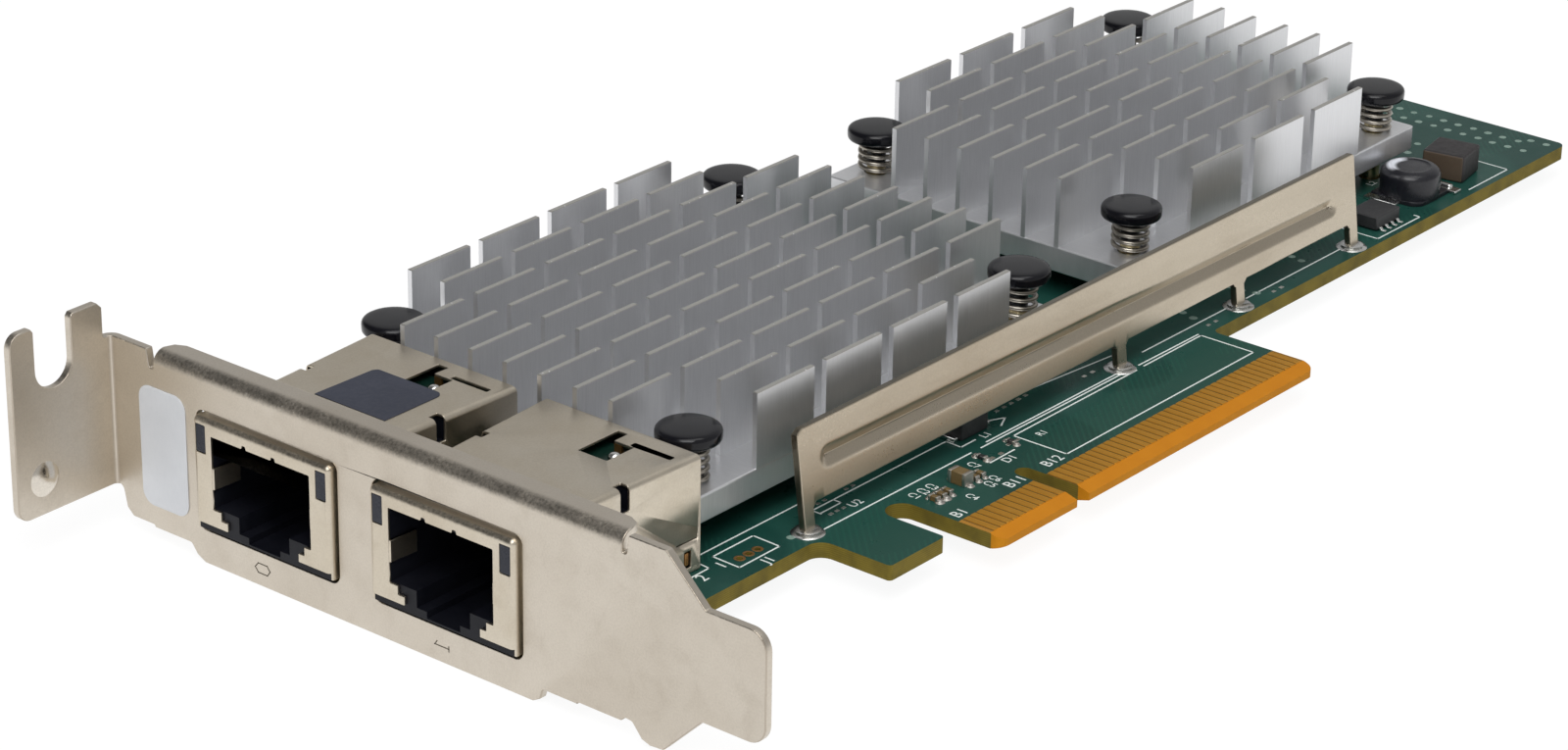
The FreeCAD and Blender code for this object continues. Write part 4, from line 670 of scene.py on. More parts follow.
finishes = {
    "bracket": makeSheetMetal("nickelBracket", (0.665, 0.605, 0.52), (0.55, 0.485, 0.4), 0.38, 0.22, bend=True,
                              fold=True),
    "rail": makeSheetMetal("nickelRail", (0.55, 0.485, 0.385), (0.46, 0.39, 0.295), 0.3, 0.04, (0.15, 1.0, 1.0),
                           cut=True),
    "shield": makeSheetMetal("nickelShield", (0.67, 0.605, 0.5), (0.55, 0.475, 0.36), 0.37, 0.2, bend=True),
    "dome": makeSheetMetal("nickelDome", (0.74, 0.69, 0.61), (0.62, 0.56, 0.48), 0.17, 0.1),
    # painted shade of the stamped grooves, for the port numbers
    "paintedStampShade": makePlastic("stampShade", (0.07, 0.058, 0.04), (0.14, 0.12, 0.085), 0.6, 0.2, shine=0.2),
    "screw": makeSheetMetal("zincScrew", (0.62, 0.6, 0.57), (0.5, 0.48, 0.44), 0.28, 0.3),
    "brassTurned": makePlating("brassTurned", *brass),
    "spring": makeSheetMetal("springWire", (0.4, 0.37, 0.32), (0.22, 0.2, 0.17), 0.3, 0.2),
    "can": makeSheetMetal("crystalCan", (0.7, 0.69, 0.66), (0.6, 0.58, 0.54), 0.3, 0.2),
    "aluminium": makeAluminium("heatsinkAluminium"),
    "board": makeBoardFinish("boardMask"),
    "gold": makePlating("goldPlate", (0.84, 0.44, 0.06), (0.7, 0.34, 0.035), 0.36),
    "solder": makeSheetMetal("solderTin", (0.78, 0.78, 0.76), (0.6, 0.6, 0.58), 0.22, 0.12),
    "endCap": makeSheetMetal("endCapTin", (0.66, 0.64, 0.6), (0.48, 0.46, 0.42), 0.34, 0.15),
    # a darker copy of the solder tin: painted shade that dims highlights on small joints
    "partTin": makeSheetMetal("partTin", (0.46, 0.44, 0.41), (0.33, 0.31, 0.28), 0.46, 0.12),
    "copperLand": makePlating("copperLand", (0.5, 0.27, 0.1), (0.34, 0.17, 0.06), 0.4),
    "shank": makeShankFinish("pinShank", 6.4),
    # carrier mask darker than the board's: painted shade inside the jack
    "shadedInnerBoard": makePlastic("carrierMask", (0.002, 0.014, 0.01), (0.008, 0.034, 0.024), 0.3, 0.2),
    "label": makePaper("labelPaper", (0.735, 0.755, 0.79), (0.65, 0.67, 0.705)),
    "ink": makeInk("boardInk"),
    "sticker": makePlastic("stickerFilm", (0.028, 0.032, 0.05), (0.042, 0.047, 0.07), 0.5, 0.15, 2400.0, 0.35),
    "chip": makePlastic("chipEpoxy", (0.018, 0.018, 0.02), (0.035, 0.035, 0.036), 0.45, 0.3),
    "cap": makePlastic("capGloss", (0.004, 0.004, 0.006), (0.008, 0.008, 0.011), 0.15, 0.08, 900.0, 0.3),
    "jack": makePlastic("jackMoulding", (0.005, 0.0055, 0.009), (0.013, 0.014, 0.02), 0.4, 0.3, shine=0.2),
    "lens": makePlastic("smokedLens", (0.02, 0.022, 0.032), (0.042, 0.046, 0.062), 0.24, 0.1, shine=0.25),
    "rubber": makePlastic("thermalRubber", (0.3, 0.32, 0.36), (0.38, 0.4, 0.44), 0.75, 0.4),
    "ferrite": makeFerrite("inductorFerrite"),
    "filmBlock": makeFilmBlock("capacitorBlock"),
    "tanCeramic": makePlastic("capacitorCeramic", (0.13, 0.085, 0.03), (0.21, 0.145, 0.06), 0.42, 0.25, 3200.0),
    "darkCeramic": makePlastic("resistorGlaze", (0.02, 0.02, 0.022), (0.04, 0.04, 0.04), 0.3, 0.2),
    "via": makePlastic("maskedVia", (0.17, 0.27, 0.225), (0.3, 0.4, 0.345), 0.34, 0.3, 3000.0),
    "tin": makePlating("tinnedLand", (0.74, 0.73, 0.69), (0.56, 0.54, 0.48), 0.3),
}
print("finishes mixed:", len(finishes))

# bracket: rolled edges, the stamped port numbers as thin strokes in painted shade, and the pip on its flange
bracket = {"edge": 0.14, "stampWide": 0.09, "stampThick": 0.03, "stampProud": 0.005}


def printText(name, text, high, origin, across, up, thick):
    curve = bpy.data.curves.new(name, "FONT")
    curve.body = text
    curve.size = high * 1.4 * mm
    curve.align_x = "CENTER"
    curve.align_y = "CENTER"
    curve.extrude = thick / 2 * mm
    curve.resolution_u = 3
    piece = bakePiece(makeObject(name, curve))
    closeMesh(piece.data, 2e-7)
    return place(piece, frameOf(origin, across, up))


def strokeMesh(name, lines, wide, thick):  # flat bars along straight lines on a plane, in mm
    meshes = []
    for (ax, ay), (bx, by) in lines:
        way = Vector((bx - ax, by - ay))
        side = Vector((-way.y, way.x)).normalized() * wide / 2
        ahead = way.normalized() * wide / 2
        a = Vector((ax, ay)) - ahead
        b = Vector((bx, by)) + ahead
        corners = [a + side, a - side, b - side, b + side]
        points = [(p.x, p.y, h) for h in (-thick / 2, thick / 2) for p in corners]
        meshes.append(makeMesh(name, points, boxFaces))
    return joinMeshes(name, meshes)


def joinPieces(name, pieces):
    mesh = joinMeshes(name, [piece.data for piece in pieces])
    for piece in pieces:
        bpy.data.objects.remove(piece)
    return makeObject(name, mesh)


plateCopy = soften(copySolid("mounting_bracket", "bracketPlate"), bracket["edge"], 3)
finishPiece(plateCopy, finishes["bracket"], "nickel_sheet", "mounting_bracket")

zeroLoop = [(35.8, -2.1), (36.15, -1.62), (37.3, -1.62), (37.7, -2.1), (37.3, -2.58), (36.15, -2.58)]
stampLines = {"0": list(zip(zeroLoop, zeroLoop[1:] + zeroLoop[:1])),
              "1": [((13.6, -2.3), (15.3, -2.3)), ((15.3, -2.3), (15.0, -1.9)), ((13.6, -2.55), (13.6, -2.05))]}
digits = []
for digit, strokes in stampLines.items():
    turned = [((-ay, az), (-by, bz)) for (ay, az), (by, bz) in strokes]
    digits.append(strokeMesh("digit" + digit, turned, bracket["stampWide"], bracket["stampThick"]))
# the digits' dark strokes are painted shade of their stamped grooves
portNumbers = makeObject("portNumbers", joinMeshes("portNumbers", digits))
place(portNumbers, frameOf((-bracket["stampProud"], 0, 0), (0, -1, 0), (0, 0, 1)))
finishPiece(portNumbers, finishes["paintedStampShade"], "nickel_sheet")

dome = {"radius": 1.75, "high": 0.48, "sunk": 0.06, "spot": (-8.7, 55.74, 4.1)}
ball = (dome["radius"] ** 2 + dome["high"] ** 2) / (2 * dome["high"])
domeProfile = [(0, -dome["sunk"]), (dome["radius"], -dome["sunk"]), (dome["radius"], 0.0)]
for k in range(1, 11):
    r = dome["radius"] * (1 - k / 10)
    domeProfile.append((r, math.sqrt(ball ** 2 - r ** 2) - ball + dome["high"]))
pip = makeObject("flangePip", turnProfile("flangePip", domeProfile, 40))
place(pip, frameOf(dome["spot"], (1, 0, 0), (0, 0, 1)))
smooth(pip, 60)
finishPiece(pip, finishes["dome"], "nickel_sheet")

# label: thin satin stock with a soft cut edge
label = {"low": (46.1, -0.1), "high": (52.15, 12.0), "corner": 1.4, "thick": 0.1, "edge": 0.03}
labelLoop = roundLoop(boxLoop(*label["low"], *label["high"]), label["corner"], 8)
labelStock = drawPlate("bracketLabel", [labelLoop], label["thick"], label["edge"], 2)
place(labelStock, frameOf((-label["thick"] / 2, 0, 0), (0, 1, 0), (0, 0, 1)))
smooth(labelStock)
finishPiece(labelStock, finishes["label"], "label_paper", "bracket_label")

# jacks: softened shields, plug wires, smoked lamps, and what shows through the shields' cut-outs
jack = {"centres": {"zero": 35.85, "one": 13.7}, "edge": 0.07, "shift": 0.03, "wires": 8, "wirePitch": 1.02,
        "wireWide": 0.34, "lensHalf": (0.595, 1.37), "lensLong": 3.0, "lensMiddle": 0.75, "lensSide": 7.6,
        "lensLevel": 9.2, "carrierHalf": 7.2, "beadSpot": (18.8, -2.9), "catchSide": 9.1, "catchHalf": 0.13}
partingLoop = [(19.9, 3.2), (22.6, 3.2), (22.6, 4.3), (22.44, 4.3), (22.44, 3.36), (19.9, 3.36)]
wireLoop = [(1.6, 10.55), (1.6, 10.2), (2.0, 10.2), (9.6, 5.9), (10.0, 6.15), (2.3, 10.5), (12.9, 10.5), (12.9, 1.4),
            (13.25, 1.4), (13.25, 10.8), (2.0, 10.8)]
beadProfile = [(0, 10.08), (0.6, 10.09), (0.66, 10.5), (0.52, 10.83), (0.28, 10.96), (0, 11.0)]
lengthwise = ((1, 0, 0), (0, 0, 1))  # a plate that stands along the card
facingOut = ((0, 1, 0), (0, 0, 1))  # a plate that lies on the bracket

for port, centre in jack["centres"].items():
    shield = soften(copySolid(f"{port}_jack_shield", f"{port}JackShield"), jack["edge"], 2)
    cutter = place(drawPlate(f"{port}Parting", [partingLoop], 24), frameOf((0, centre, 0), *lengthwise))
    parting = shield.modifiers.new("parting", "BOOLEAN")  # where the rear cover is folded over the side
    parting.operation, parting.solver, parting.object = "DIFFERENCE", "EXACT", cutter
    closeMesh(bakePiece(shield).data, 2e-6)
    bpy.data.objects.remove(cutter)
    finishPiece(shield, finishes["shield"], "shield_sheet", f"{port}_jack_shield")
    for part, finish in (("body", "jack"), ("magnetics", "jack"), ("leads", "solder")):
        setFinish(cadNodes[f"{port}_jack_{part}"], finishes[finish])

    wire = place(drawPlate(f"{port}Wire", [wireLoop], jack["wireWide"], 0.05, 1), frameOf((0, 0, 0), *lengthwise))
    firstWire = centre + jack["shift"] - jack["wirePitch"] * (jack["wires"] - 1) / 2
    wires = repeatPiece(f"{port}JackWires", wire.data,
                        [(0, firstWire + jack["wirePitch"] * k, 0) for k in range(jack["wires"])], finishes["gold"])
    bpy.data.objects.remove(wire)
    finishPiece(wires, None, "gold_plate", f"{port}_jack_contacts")

    halfWide, halfHigh = jack["lensHalf"]
    lensLoop = roundLoop(boxLoop(-halfWide, -halfHigh, halfWide, halfHigh), 0.12, 3)
    lenses = []
    for side in (-1, 1):
        lens = drawPlate(f"{port}Lens{side + 1}", [lensLoop], jack["lensLong"], 0.08, 2)
        spot = (jack["lensMiddle"], centre + side * jack["lensSide"], jack["lensLevel"])
        lenses.append(place(lens, frameOf(spot, *facingOut)))
    pair = joinPieces(f"{port}JackLenses", lenses)
    smooth(pair)
    finishPiece(pair, finishes["lens"], "lens_plastic", f"{port}_jack_lenses")

    half = jack["carrierHalf"]
    # carrier painted darker than the board: painted shade in the jack's hole
    carrier = makeObject(f"{port}Carrier", boxMesh("carrier", (16.45, centre - half, 9.8), (21.6, centre + half, 10.1)))
    finishPiece(carrier, finishes["shadedInnerBoard"], "board_laminate")
    bead = makeObject(f"{port}Bead", turnProfile("bead", beadProfile, 24))
    place(bead, shiftBy(jack["beadSpot"][0], centre + jack["beadSpot"][1], 0))
    smooth(bead, 80)
    finishPiece(bead, finishes["solder"], "solder_tin")
    hook = makeObject(f"{port}Hook", boxMesh("hook", (20.2, centre - 2.45, 10.05), (20.5, centre - 1.6, 11.03)))
    finishPiece(hook, finishes["copperLand"], "gold_plate")
    catches = []
    for side in (-1, 1):
        y = centre + side * jack["catchSide"]
        catches.append(makeObject(f"{port}Catch{side + 1}", boxMesh("catch", (21.08, y - jack["catchHalf"], 0.85),
                                                                     (21.64, y + jack["catchHalf"], 2.08))))
    catchPair = soften(joinPieces(f"{port}Catches", catches), 0.08, 2)
    finishPiece(catchPair, finishes["copperLand"], "gold_plate")
print("jacks set")

# sticker: thin dark film with two corners cut round
sticker = {"thick": 0.06, "edge": 0.015, "level": 11.33, "radii": [0.05, 0.9, 1.4, 0.4, 0.05],
           "corners": [(9.65, 30.35), (17.4, 30.35), (17.4, 38.7), (16.9, 39.0), (9.65, 39.25)]}
film = drawPlate("jackSticker", [roundLoop(sticker["corners"], sticker["radii"], 6)], sticker["thick"],
                 sticker["edge"], 1)
place(film, shiftBy(0, 0, sticker["level"]))
finishPiece(film, finishes["sticker"], "sticker_plastic", "jack_sticker")

# heatsinks: a drilled base and a grid of sawn fins, free at the corners for the push pins
sinks = {
    "front": {"start": (23.45, 6.5), "rows": 11, "columns": 6, "rowPitch": 4.33, "columnPitch": 10.0, "finLong": 8.25,
              "pins": [(27.75, 9.8), (27.75, 46.7), (77.7, 9.8), (77.7, 46.7)], "pinTop": 10.95},
    "rear": {"start": (94.4, 8.6), "rows": 10, "columns": 5, "rowPitch": 4.25, "columnPitch": 11.3, "finLong": 9.15,
             "pins": [(99.0, 11.4), (99.0, 44.5), (144.9, 11.4), (144.9, 44.5)], "pinTop": 10.6}}
sinkShared = {"baseLow": 2.75, "baseThick": 2.75, "baseEdge": 0.18, "corner": 0.25, "finHigh": 7.6, "finThick": 0.55,
              "finEdge": 0.07, "finSunk": 0.02, "pinHole": 1.25}
sinkTop = sinkShared["baseLow"] + sinkShared["baseThick"]

for where, sink in sinks.items():
    x, y = sink["start"]
    long = sink["columnPitch"] * (sink["columns"] - 1) + sink["finLong"]
    wide = sink["rowPitch"] * (sink["rows"] - 1) + sinkShared["finThick"]
    outline = roundLoop(boxLoop(x, y, x + long, y + wide), sinkShared["corner"], 2)
    holes = [circleLoop(px, py, sinkShared["pinHole"], 28) for px, py in sink["pins"]]
    base = drawPlate(f"{where}SinkBase", [outline] + holes, sinkShared["baseThick"], sinkShared["baseEdge"], 2)
    place(base, shiftBy(0, 0, sinkShared["baseLow"] + sinkShared["baseThick"] / 2))
    smooth(base)
    finishPiece(base, finishes["aluminium"], "heatsink_aluminium", f"{where}_heatsink")
    seat = (x + sink["finLong"] / 2, y + sinkShared["finThick"] / 2, sinkTop - sinkShared["finSunk"])
    grid = makeObject(f"{where}SinkFins", bpy.data.meshes.new("fins"))
    runTree(grid, finTree, {"Rows": sink["rows"], "Columns": sink["columns"], "Row Pitch": sink["rowPitch"] * mm,
                            "Column Pitch": sink["columnPitch"] * mm, "Fin Length": sink["finLong"] * mm,
                            "Fin Thick": sinkShared["finThick"] * mm,
                            "Fin Height": (sinkShared["finHigh"] + sinkShared["finSunk"]) * mm,
                            "Edge": sinkShared["finEdge"] * mm, "Start": [value * mm for value in seat],
                            "Finish": finishes["aluminium"]})
    finishPiece(grid, None, "heatsink_aluminium")
    setFinish(cadNodes[f"{where}_chip"], finishes["chip"])
    setFinish(cadNodes[f"{where}_thermal_pad"], finishes["rubber"])
print("heatsinks cut")

# push pins: rounded cap, barbed shank and a coil spring, at each corner of a heatsink
pin = {"capRadius": 3.15, "capHigh": 1.5, "springRadius": 1.75, "springWire": 0.25, "springTurns": 4.0,
       "springPlay": 0.02, "shankRadius": 1.0, "tip": -3.7}

for where, sink in sinks.items():
    low = sink["pinTop"] - pin["capHigh"]
    r = pin["capRadius"]
    profile = [(0, low), (r - 0.5, low), (r - 0.3, low + 0.04), (r - 0.13, low + 0.13), (r - 0.03, low + 0.28),
               (r, low + 0.48), (r, low + 0.95), (r - 0.05, low + 1.13), (r - 0.17, low + 1.28), (r - 0.36, low + 1.38),
               (r - 0.65, low + 1.43), (r - 1.2, low + 1.46), (r * 0.3, low + 1.49), (0, sink["pinTop"])]
    spots = [(px, py, 0) for px, py in sink["pins"]]
    caps = repeatPiece(f"{where}PinCaps", turnProfile("cap", profile, 48), spots, finishes["cap"], 0.3)
    smooth(caps, 50)
    finishPiece(caps, None, "cap_plastic", f"{where}_pin_caps")
    r = pin["shankRadius"]
    profile = [(0, pin["tip"]), (0.5, pin["tip"]), (0.62, pin["tip"] + 0.12), (1.5, boardUnder - 0.22),
               (1.48, boardUnder - 0.1), (r, boardUnder - 0.08), (r, 4.9), (r + 0.12, 5.05), (r + 0.12, 5.45), (r, 5.6),
               (r, low + 0.02), (0, low + 0.02)]
    shanks = repeatPiece(f"{where}PinShanks", turnProfile("shank", profile, 28), spots, finishes["shank"])
    smooth(shanks, 30)
    finishPiece(shanks, None, "shank_brass", f"{where}_pin_shanks")
    coilLow = sinkTop + pin["springWire"] + pin["springPlay"]
    coilHigh = low - pin["springWire"] - pin["springPlay"]
    mesh = bpy.data.meshes.new("coils")
    mesh.from_pydata([(px * mm, py * mm, coilLow * mm) for px, py in sink["pins"]], [], [])
    coils = makeObject(f"{where}PinSprings", mesh)
    runTree(coils, springTree, {"Turns": pin["springTurns"], "Radius": pin["springRadius"] * mm,
                                "Height": (coilHigh - coilLow) * mm, "Wire": pin["springWire"] * mm,
                                "Finish": finishes["spring"]})
    smooth(coils, 60)
    finishPiece(coils, None, "spring_steel", f"{where}_pin_springs")
print("push pins sprung")

# edge contacts: one plated strip set along both sides of the finger section, sized beside the board's finish
half = contacts["wide"] / 2
strip = roundLoop(boxLoop(-half, -contacts["outer"], half, -contacts["inner"]), 0.12, 2)
notch = contacts["step"] - contacts["pitch"]
for name, node, level in (("upperContacts", "component_side_contacts", contacts["thick"] / 2),
                          ("lowerContacts", "solder_side_contacts", boardUnder - contacts["thick"] / 2)):
    blade = drawPlate(name + "Blade", [strip], contacts["thick"], 0.015, 1)
    spots = [(contacts["first"] + contacts["pitch"] * k + (notch if k >= contacts["beforeNotch"] else 0), 0, level)
             for k in range(contacts["count"])]
    row = repeatPiece(name, blade.data, spots, finishes["gold"])
    bpy.data.objects.remove(blade)
    finishPiece(row, None, "gold_plate", node)
print("contacts plated")

# stiffener rail: leaning sheet with a long pressed groove and four feet
rail = {"start": 34.4, "middle": 1.7, "long": 92.6, "thick": 0.8, "low": 2.7, "high": 10.2, "lean": 7.5, "foot": 1.5,
        "footDeep": 1.37, "innerFeet": (49.8, 70.6), "grooveFrom": 2.9, "grooveTo": 89.0, "grooveHalf": 1.25,
        "grooveDeep": 0.6, "grooveMiddle": 6.45, "grooveFall": 0.9}
feetAlong = [rail["foot"] / 2, *rail["innerFeet"], rail["long"] - rail["foot"] / 2]


def grooveShape(x, z):  # how far the sheet is pressed back at a place on the rail
    left = rail["grooveFrom"] + rail["grooveHalf"]
    right = rail["grooveTo"] - rail["grooveHalf"]
    t = min(max((x - left) / (right - left), 0), 1)
    reach = math.hypot(x - (left + t * (right - left)), z - (rail["grooveMiddle"] - rail["grooveFall"] * t))
    if reach >= rail["grooveHalf"]:
        return 0.0
    s = (reach / rail["grooveHalf"] - 0.1) / 0.9
    if s < 0:
        return rail["grooveDeep"]
    return rail["grooveDeep"] * (1 - 1.11 * s if s < 0.8 else 0.112 * ((1 - s) / 0.2) ** 2)


def makeRailSheet():
    fineEnd = [rail["grooveFrom"] + k * 0.2 for k in range(14)]
    fineFar = [rail["grooveTo"] - k * 0.2 for k in range(14)]
    stops = {0.0, 0.4, 0.8, rail["long"] - 0.4, rail["long"]} | {rail["foot"] + step for step in (0.3, 0.7, 1.2)}
    stops |= set(fineEnd) | set(fineFar) | {5.8 + k * 2.5 for k in range(33)}
    for centre in feetAlong:
        for reach in (rail["foot"] / 2, rail["foot"] / 2 + 0.15, rail["foot"] / 2 + 0.45):
            stops |= {round(centre - reach, 4), round(centre + reach, 4)}
    xs = []
    for x in sorted(value for value in stops if 0 <= value <= rail["long"]):
        if not xs or x - xs[-1] > 0.02:
            xs.append(x)
    half = [0.125, 0.2, 0.4, 0.55, 0.7, 0.85, 0.95, 1.05, 1.15, 1.25, 1.45]
    offsets = [-offset for offset in reversed(half)] + half
    points = []
    rows = len(offsets) + 4
    for x in xs:
        t = min(max((x - rail["grooveFrom"]) / (rail["grooveTo"] - rail["grooveFrom"]), 0), 1)
        middle = rail["grooveMiddle"] - rail["grooveFall"] * t
        top = rail["high"] - max(0.0, 0.5 - x * 0.62) - max(0.0, (x - rail["long"] + 0.4) * 0.8)
        low = rail["low"]
        for centre in feetAlong:
            near = abs(x - centre) - rail["foot"] / 2
            if -0.01 < near < 0.46:
                low = min(low, rail["low"] - 0.45 + near)
        zs = [low, (low + middle - half[-1]) / 2] + [middle + offset for offset in offsets]
        zs += [(top + middle + half[-1]) / 2, top]
        points += [(x, grooveShape(x, z), z) for z in zs]
    faces = []
    for column in range(len(xs) - 1):
        for row in range(rows - 1):
            a = column * rows + row
            faces.append((a, a + rows, a + rows + 1, a + 1))
    for centre in feetAlong:
        inside = [k for k, x in enumerate(xs) if abs(x - centre) <= rail["foot"] / 2 + 0.01]
        steps = [1.9, 0.4, -rail["footDeep"]]
        base = len(points)
        for k in inside:
            points += [(xs[k], 0, z) for z in steps]
        for number in range(len(inside) - 1):
            above = (inside[number] * rows, inside[number + 1] * rows)
            for step in range(len(steps)):
                below = (base + number * 3 + step, base + (number + 1) * 3 + step)
                faces.append((below[0], below[1], above[1], above[0]))
                above = below
    sheet = makeObject("stiffenerRail", makeMesh("stiffenerRail", points, faces))
    total = sum((face.normal * face.area for face in sheet.data.polygons), Vector())
    if total.y > 0:
        sheet.data.flip_normals()
    wall = sheet.modifiers.new("wall", "SOLIDIFY")
    wall.thickness = rail["thick"] * mm
    wall.offset = 0.0
    wall.use_even_offset = True
    soften(sheet, 0.12, 2, 50)
    smooth(sheet, 22)
    lean = Matrix.Rotation(math.radians(-rail["lean"]), 4, "X")
    return place(sheet, shiftBy(rail["start"], rail["middle"], 0) @ lean)


finishPiece(makeRailSheet(), finishes["rail"], "nickel_sheet", "stiffener_rail")
print("rail pressed")

# solder: glossy fillets round the rail's feet and beside every lead: radius, height and neck
solder = {"foot": (1.65, 0.45, 1.0), "lead": (0.7, 0.8, 0.3), "leg": (1.25, 0.8, 0.55), "footUnder": (1.5, 0.4, 0.9),
          "part": (0.42, 0.24, 0.2)}


def filletProfile(radius, high, neck):  # a wetted cone: wide and thin at the land, drawn up the lead
    return [(0, -0.002), (radius, 0), (radius * 0.97, high * 0.1), (radius * 0.8, high * 0.24),
            (radius * 0.62, high * 0.44), (neck * 1.25, high * 0.76), (neck, high), (0, high)]


feetAt = [(rail["start"] + x, rail["middle"]) for x in feetAlong]
footJoints = repeatPiece("railSolder", turnProfile("footJoint", filletProfile(*solder["foot"]), 30),
                         [(x, y, 0) for x, y in feetAt], finishes["solder"], 0.4, 2.0, 0.0, 5)
smooth(footJoints, 60)
finishPiece(footJoints, None, "solder_tin", "rail_solder")

leadSpots = [(15.2 + 2.3 * (k % 2), centre + 1.15 * (k - 3.5)) for centre in jack["centres"].values() for k in range(8)]
legSpots = [(x, centre + side * half) for centre in jack["centres"].values() for side in (-1, 1)
            for x, half in ((10.5, 8.54), (19.0, 9.06))]
for name, kind, sides, spots, vary, seed in (("leadSolder", "lead", 18, leadSpots, 0.06, 11),
                                             ("legSolder", "leg", 22, legSpots, 0.05, 12),
                                             ("railFootSolder", "footUnder", 22, feetAt, 0.05, 13)):
    hanging = turnProfile(kind, [(r, -z) for r, z in filletProfile(*solder[kind])], sides)
    joints = repeatPiece(name, hanging, [(x, y, boardUnder) for x, y in spots], finishes["solder"], 0.0, 3.0, vary,
                         seed)
    smooth(joints, 60)
    finishPiece(joints, None, "solder_tin")
print("joints soldered")

# board: its own solid with the mask finish, plus vias, lands and white lines
board = {"inkHigh": 0.02, "lineWide": 0.17, "viaProud": 0.008}
setFinish(cadNodes["circuit_board"], finishes["board"])


def viaSpots():
    spots = []
    for row, (x, start, count) in enumerate(((160.6, 20.6, 16), (162.7, 2.6, 25), (164.9, 4.55, 24), (166.1, 1.6, 2))):
        spots += [(x + 0.08 * math.sin(k * 2.1 + row), start + 1.95 * k) for k in range(count)]
    for x, y, count, step in ((87.0, 13.4, 4, 1.5), (90.5, 26, 6, 1.7), (88.5, 35, 4, 1.6), (153.5, 12.0, 9, 1.9),
                              (156.6, 9.0, 11, 1.8), (151.2, 13.0, 3, 1.7), (33.0, 2.2, 1, 1), (99.6, 3.4, 3, 1.6),
                              (108.8, 2.2, 3, 1.5), (119.4, 3.5, 2, 1.4)):
        spots += [(x + 0.3 * math.sin(k * 1.7 + x), y + step * k) for k in range(count)]
    return [spot for spot in spots if spot[1] < 51.2]


viaProfile = [(0, -0.02), (0.42, -0.02), (0.42, 0), (0.36, 0.022), (0.2, 0.026), (0.13, 0.008), (0, 0.004)]
vias = repeatPiece("boardVias", turnProfile("via", viaProfile, 14), [(x, y, board["viaProud"]) for x, y in viaSpots()],
                   finishes["via"], 0.0, 3.0, 0.1, 21)
smooth(vias, 40)
finishPiece(vias, None, "board_laminate")
underSpots = viaSpots()
for x, y, pitch, drop, count, sway, beat in ((34, 9, 4.1, 5.2, 96, 1.3, 2.3), (98, 8, 4.3, 6.2, 72, 1.2, 1.9)):
    underSpots += [(x + pitch * (k % 12) + sway * math.sin(k), y + drop * (k // 12) + math.cos(beat * k))
                   for k in range(count)]
viasUnder = repeatPiece("boardViasUnder", turnProfile("viaUnder", [(r, -z) for r, z in viaProfile], 14),
                        [(x, y, boardUnder - board["viaProud"]) for x, y in underSpots], finishes["via"], 0.0, 3.0,
                        0.1, 22)
smooth(viasUnder, 40)
finishPiece(viasUnder, None, "board_laminate")

ringProfile = [(0.31, -0.01), (0.56, -0.01), (0.56, 0.02), (0.5, 0.035), (0.36, 0.035), (0.31, 0.02), (0.31, -0.01)]
headerRings = repeatPiece("headerLands", turnProfile("ring", ringProfile, 22),
                          [(28.2 + 1.27 * (k - 1), 2.95, 0) for k in range(3)], finishes["copperLand"])
finishPiece(headerRings, None, "gold_plate")

padMould = drawPlate("pad", [roundLoop(boxLoop(-0.28, -0.2, 0.28, 0.2), 0.08, 2)], 0.04, 0.015, 1)
barePads = [(39.5, 2.5), (40.4, 2.5), (41.3, 2.45), (40.4, 4.8), (41.4, 4.8), (67.9, 4.75), (69.1, 4.78), (70.3, 4.8),
            (71.5, 4.82), (72.7, 4.85), (59.0, -1.4), (60.4, -1.4), (62.5, -0.75), (63.9, -0.75), (80.2, 3.2),
            (81.6, 3.2), (44.6, 4.8), (45.6, 4.8), (98.9, 1.2), (100.2, 1.2), (110.6, 1.1), (112.0, 1.1)]
pads = repeatPiece("bareLands", padMould.data, [(x, y, 0.015) for x, y in barePads], finishes["tin"], 0.0, 0.05, 0.1,
                   31)
bpy.data.objects.remove(padMould)
finishPiece(pads, None, "solder_tin")

lines = [((36.6, 0.95), (58.6, 0.81)), ((60.2, 0.78), (84.9, 0.72)), ((86.0, 0.7), (96.2, 0.62)),
         ((61.6, 1.2), (84.6, 1.12)), ((38.9, 4.25), (59.1, 4.18)), ((59.1, 4.18), (59.0, 2.3)),
         ((59.0, 2.3), (61.2, 2.3)), ((38.9, 4.25), (38.9, 3.2)), ((39.1, 3.3), (42.0, 3.3)),
         ((42.0, 3.3), (42.0, 4.2)), ((64.4, 0.08), (64.45, -6.2)), ((64.45, -6.2), (96.2, -6.1)),
         ((96.2, -6.1), (96.2, 0.26)), ((96.2, 0.26), (86.2, 0.2)), ((84.8, 0.15), (64.4, 0.08)),
         ((65.5, 2.4), (67.2, 3.2)), ((67.2, 3.2), (65.5, 4.0)), ((66.8, 6.2), (86.0, 4.1)),
         ((25.6, 5.0), (25.5, 1.76)), ((25.5, 1.76), (31.2, 1.8)), ((31.2, 1.8), (31.3, 5.0)),
         ((31.3, 5.0), (25.6, 5.0)), ((24.0, 6.1), (84.0, 6.0)), ((23.6, 3.75), (20.9, 3.7)),
         ((23.6, 3.75), (23.7, 5.0)), ((58.1, -1.9), (61.9, -1.85)), ((129.9, 0.75), (138.2, 0.7)),
         ((138.2, 0.7), (138.2, 1.4)), ((129.9, 0.75), (129.9, 6.8)), ((148.6, 0.9), (156.6, 0.9)),
         ((156.6, 0.9), (156.6, 7.9)), ((88.9, 2.3), (103.6, 2.25)), ((107.2, 2.2), (125.4, 2.2))]
whiteLines = makeObject("boardLines", strokeMesh("boardLines", lines, board["lineWide"], board["inkHigh"]))
place(whiteLines, shiftBy(0, 0, board["inkHigh"] / 2))
finishPiece(whiteLines, finishes["ink"], "board_laminate")

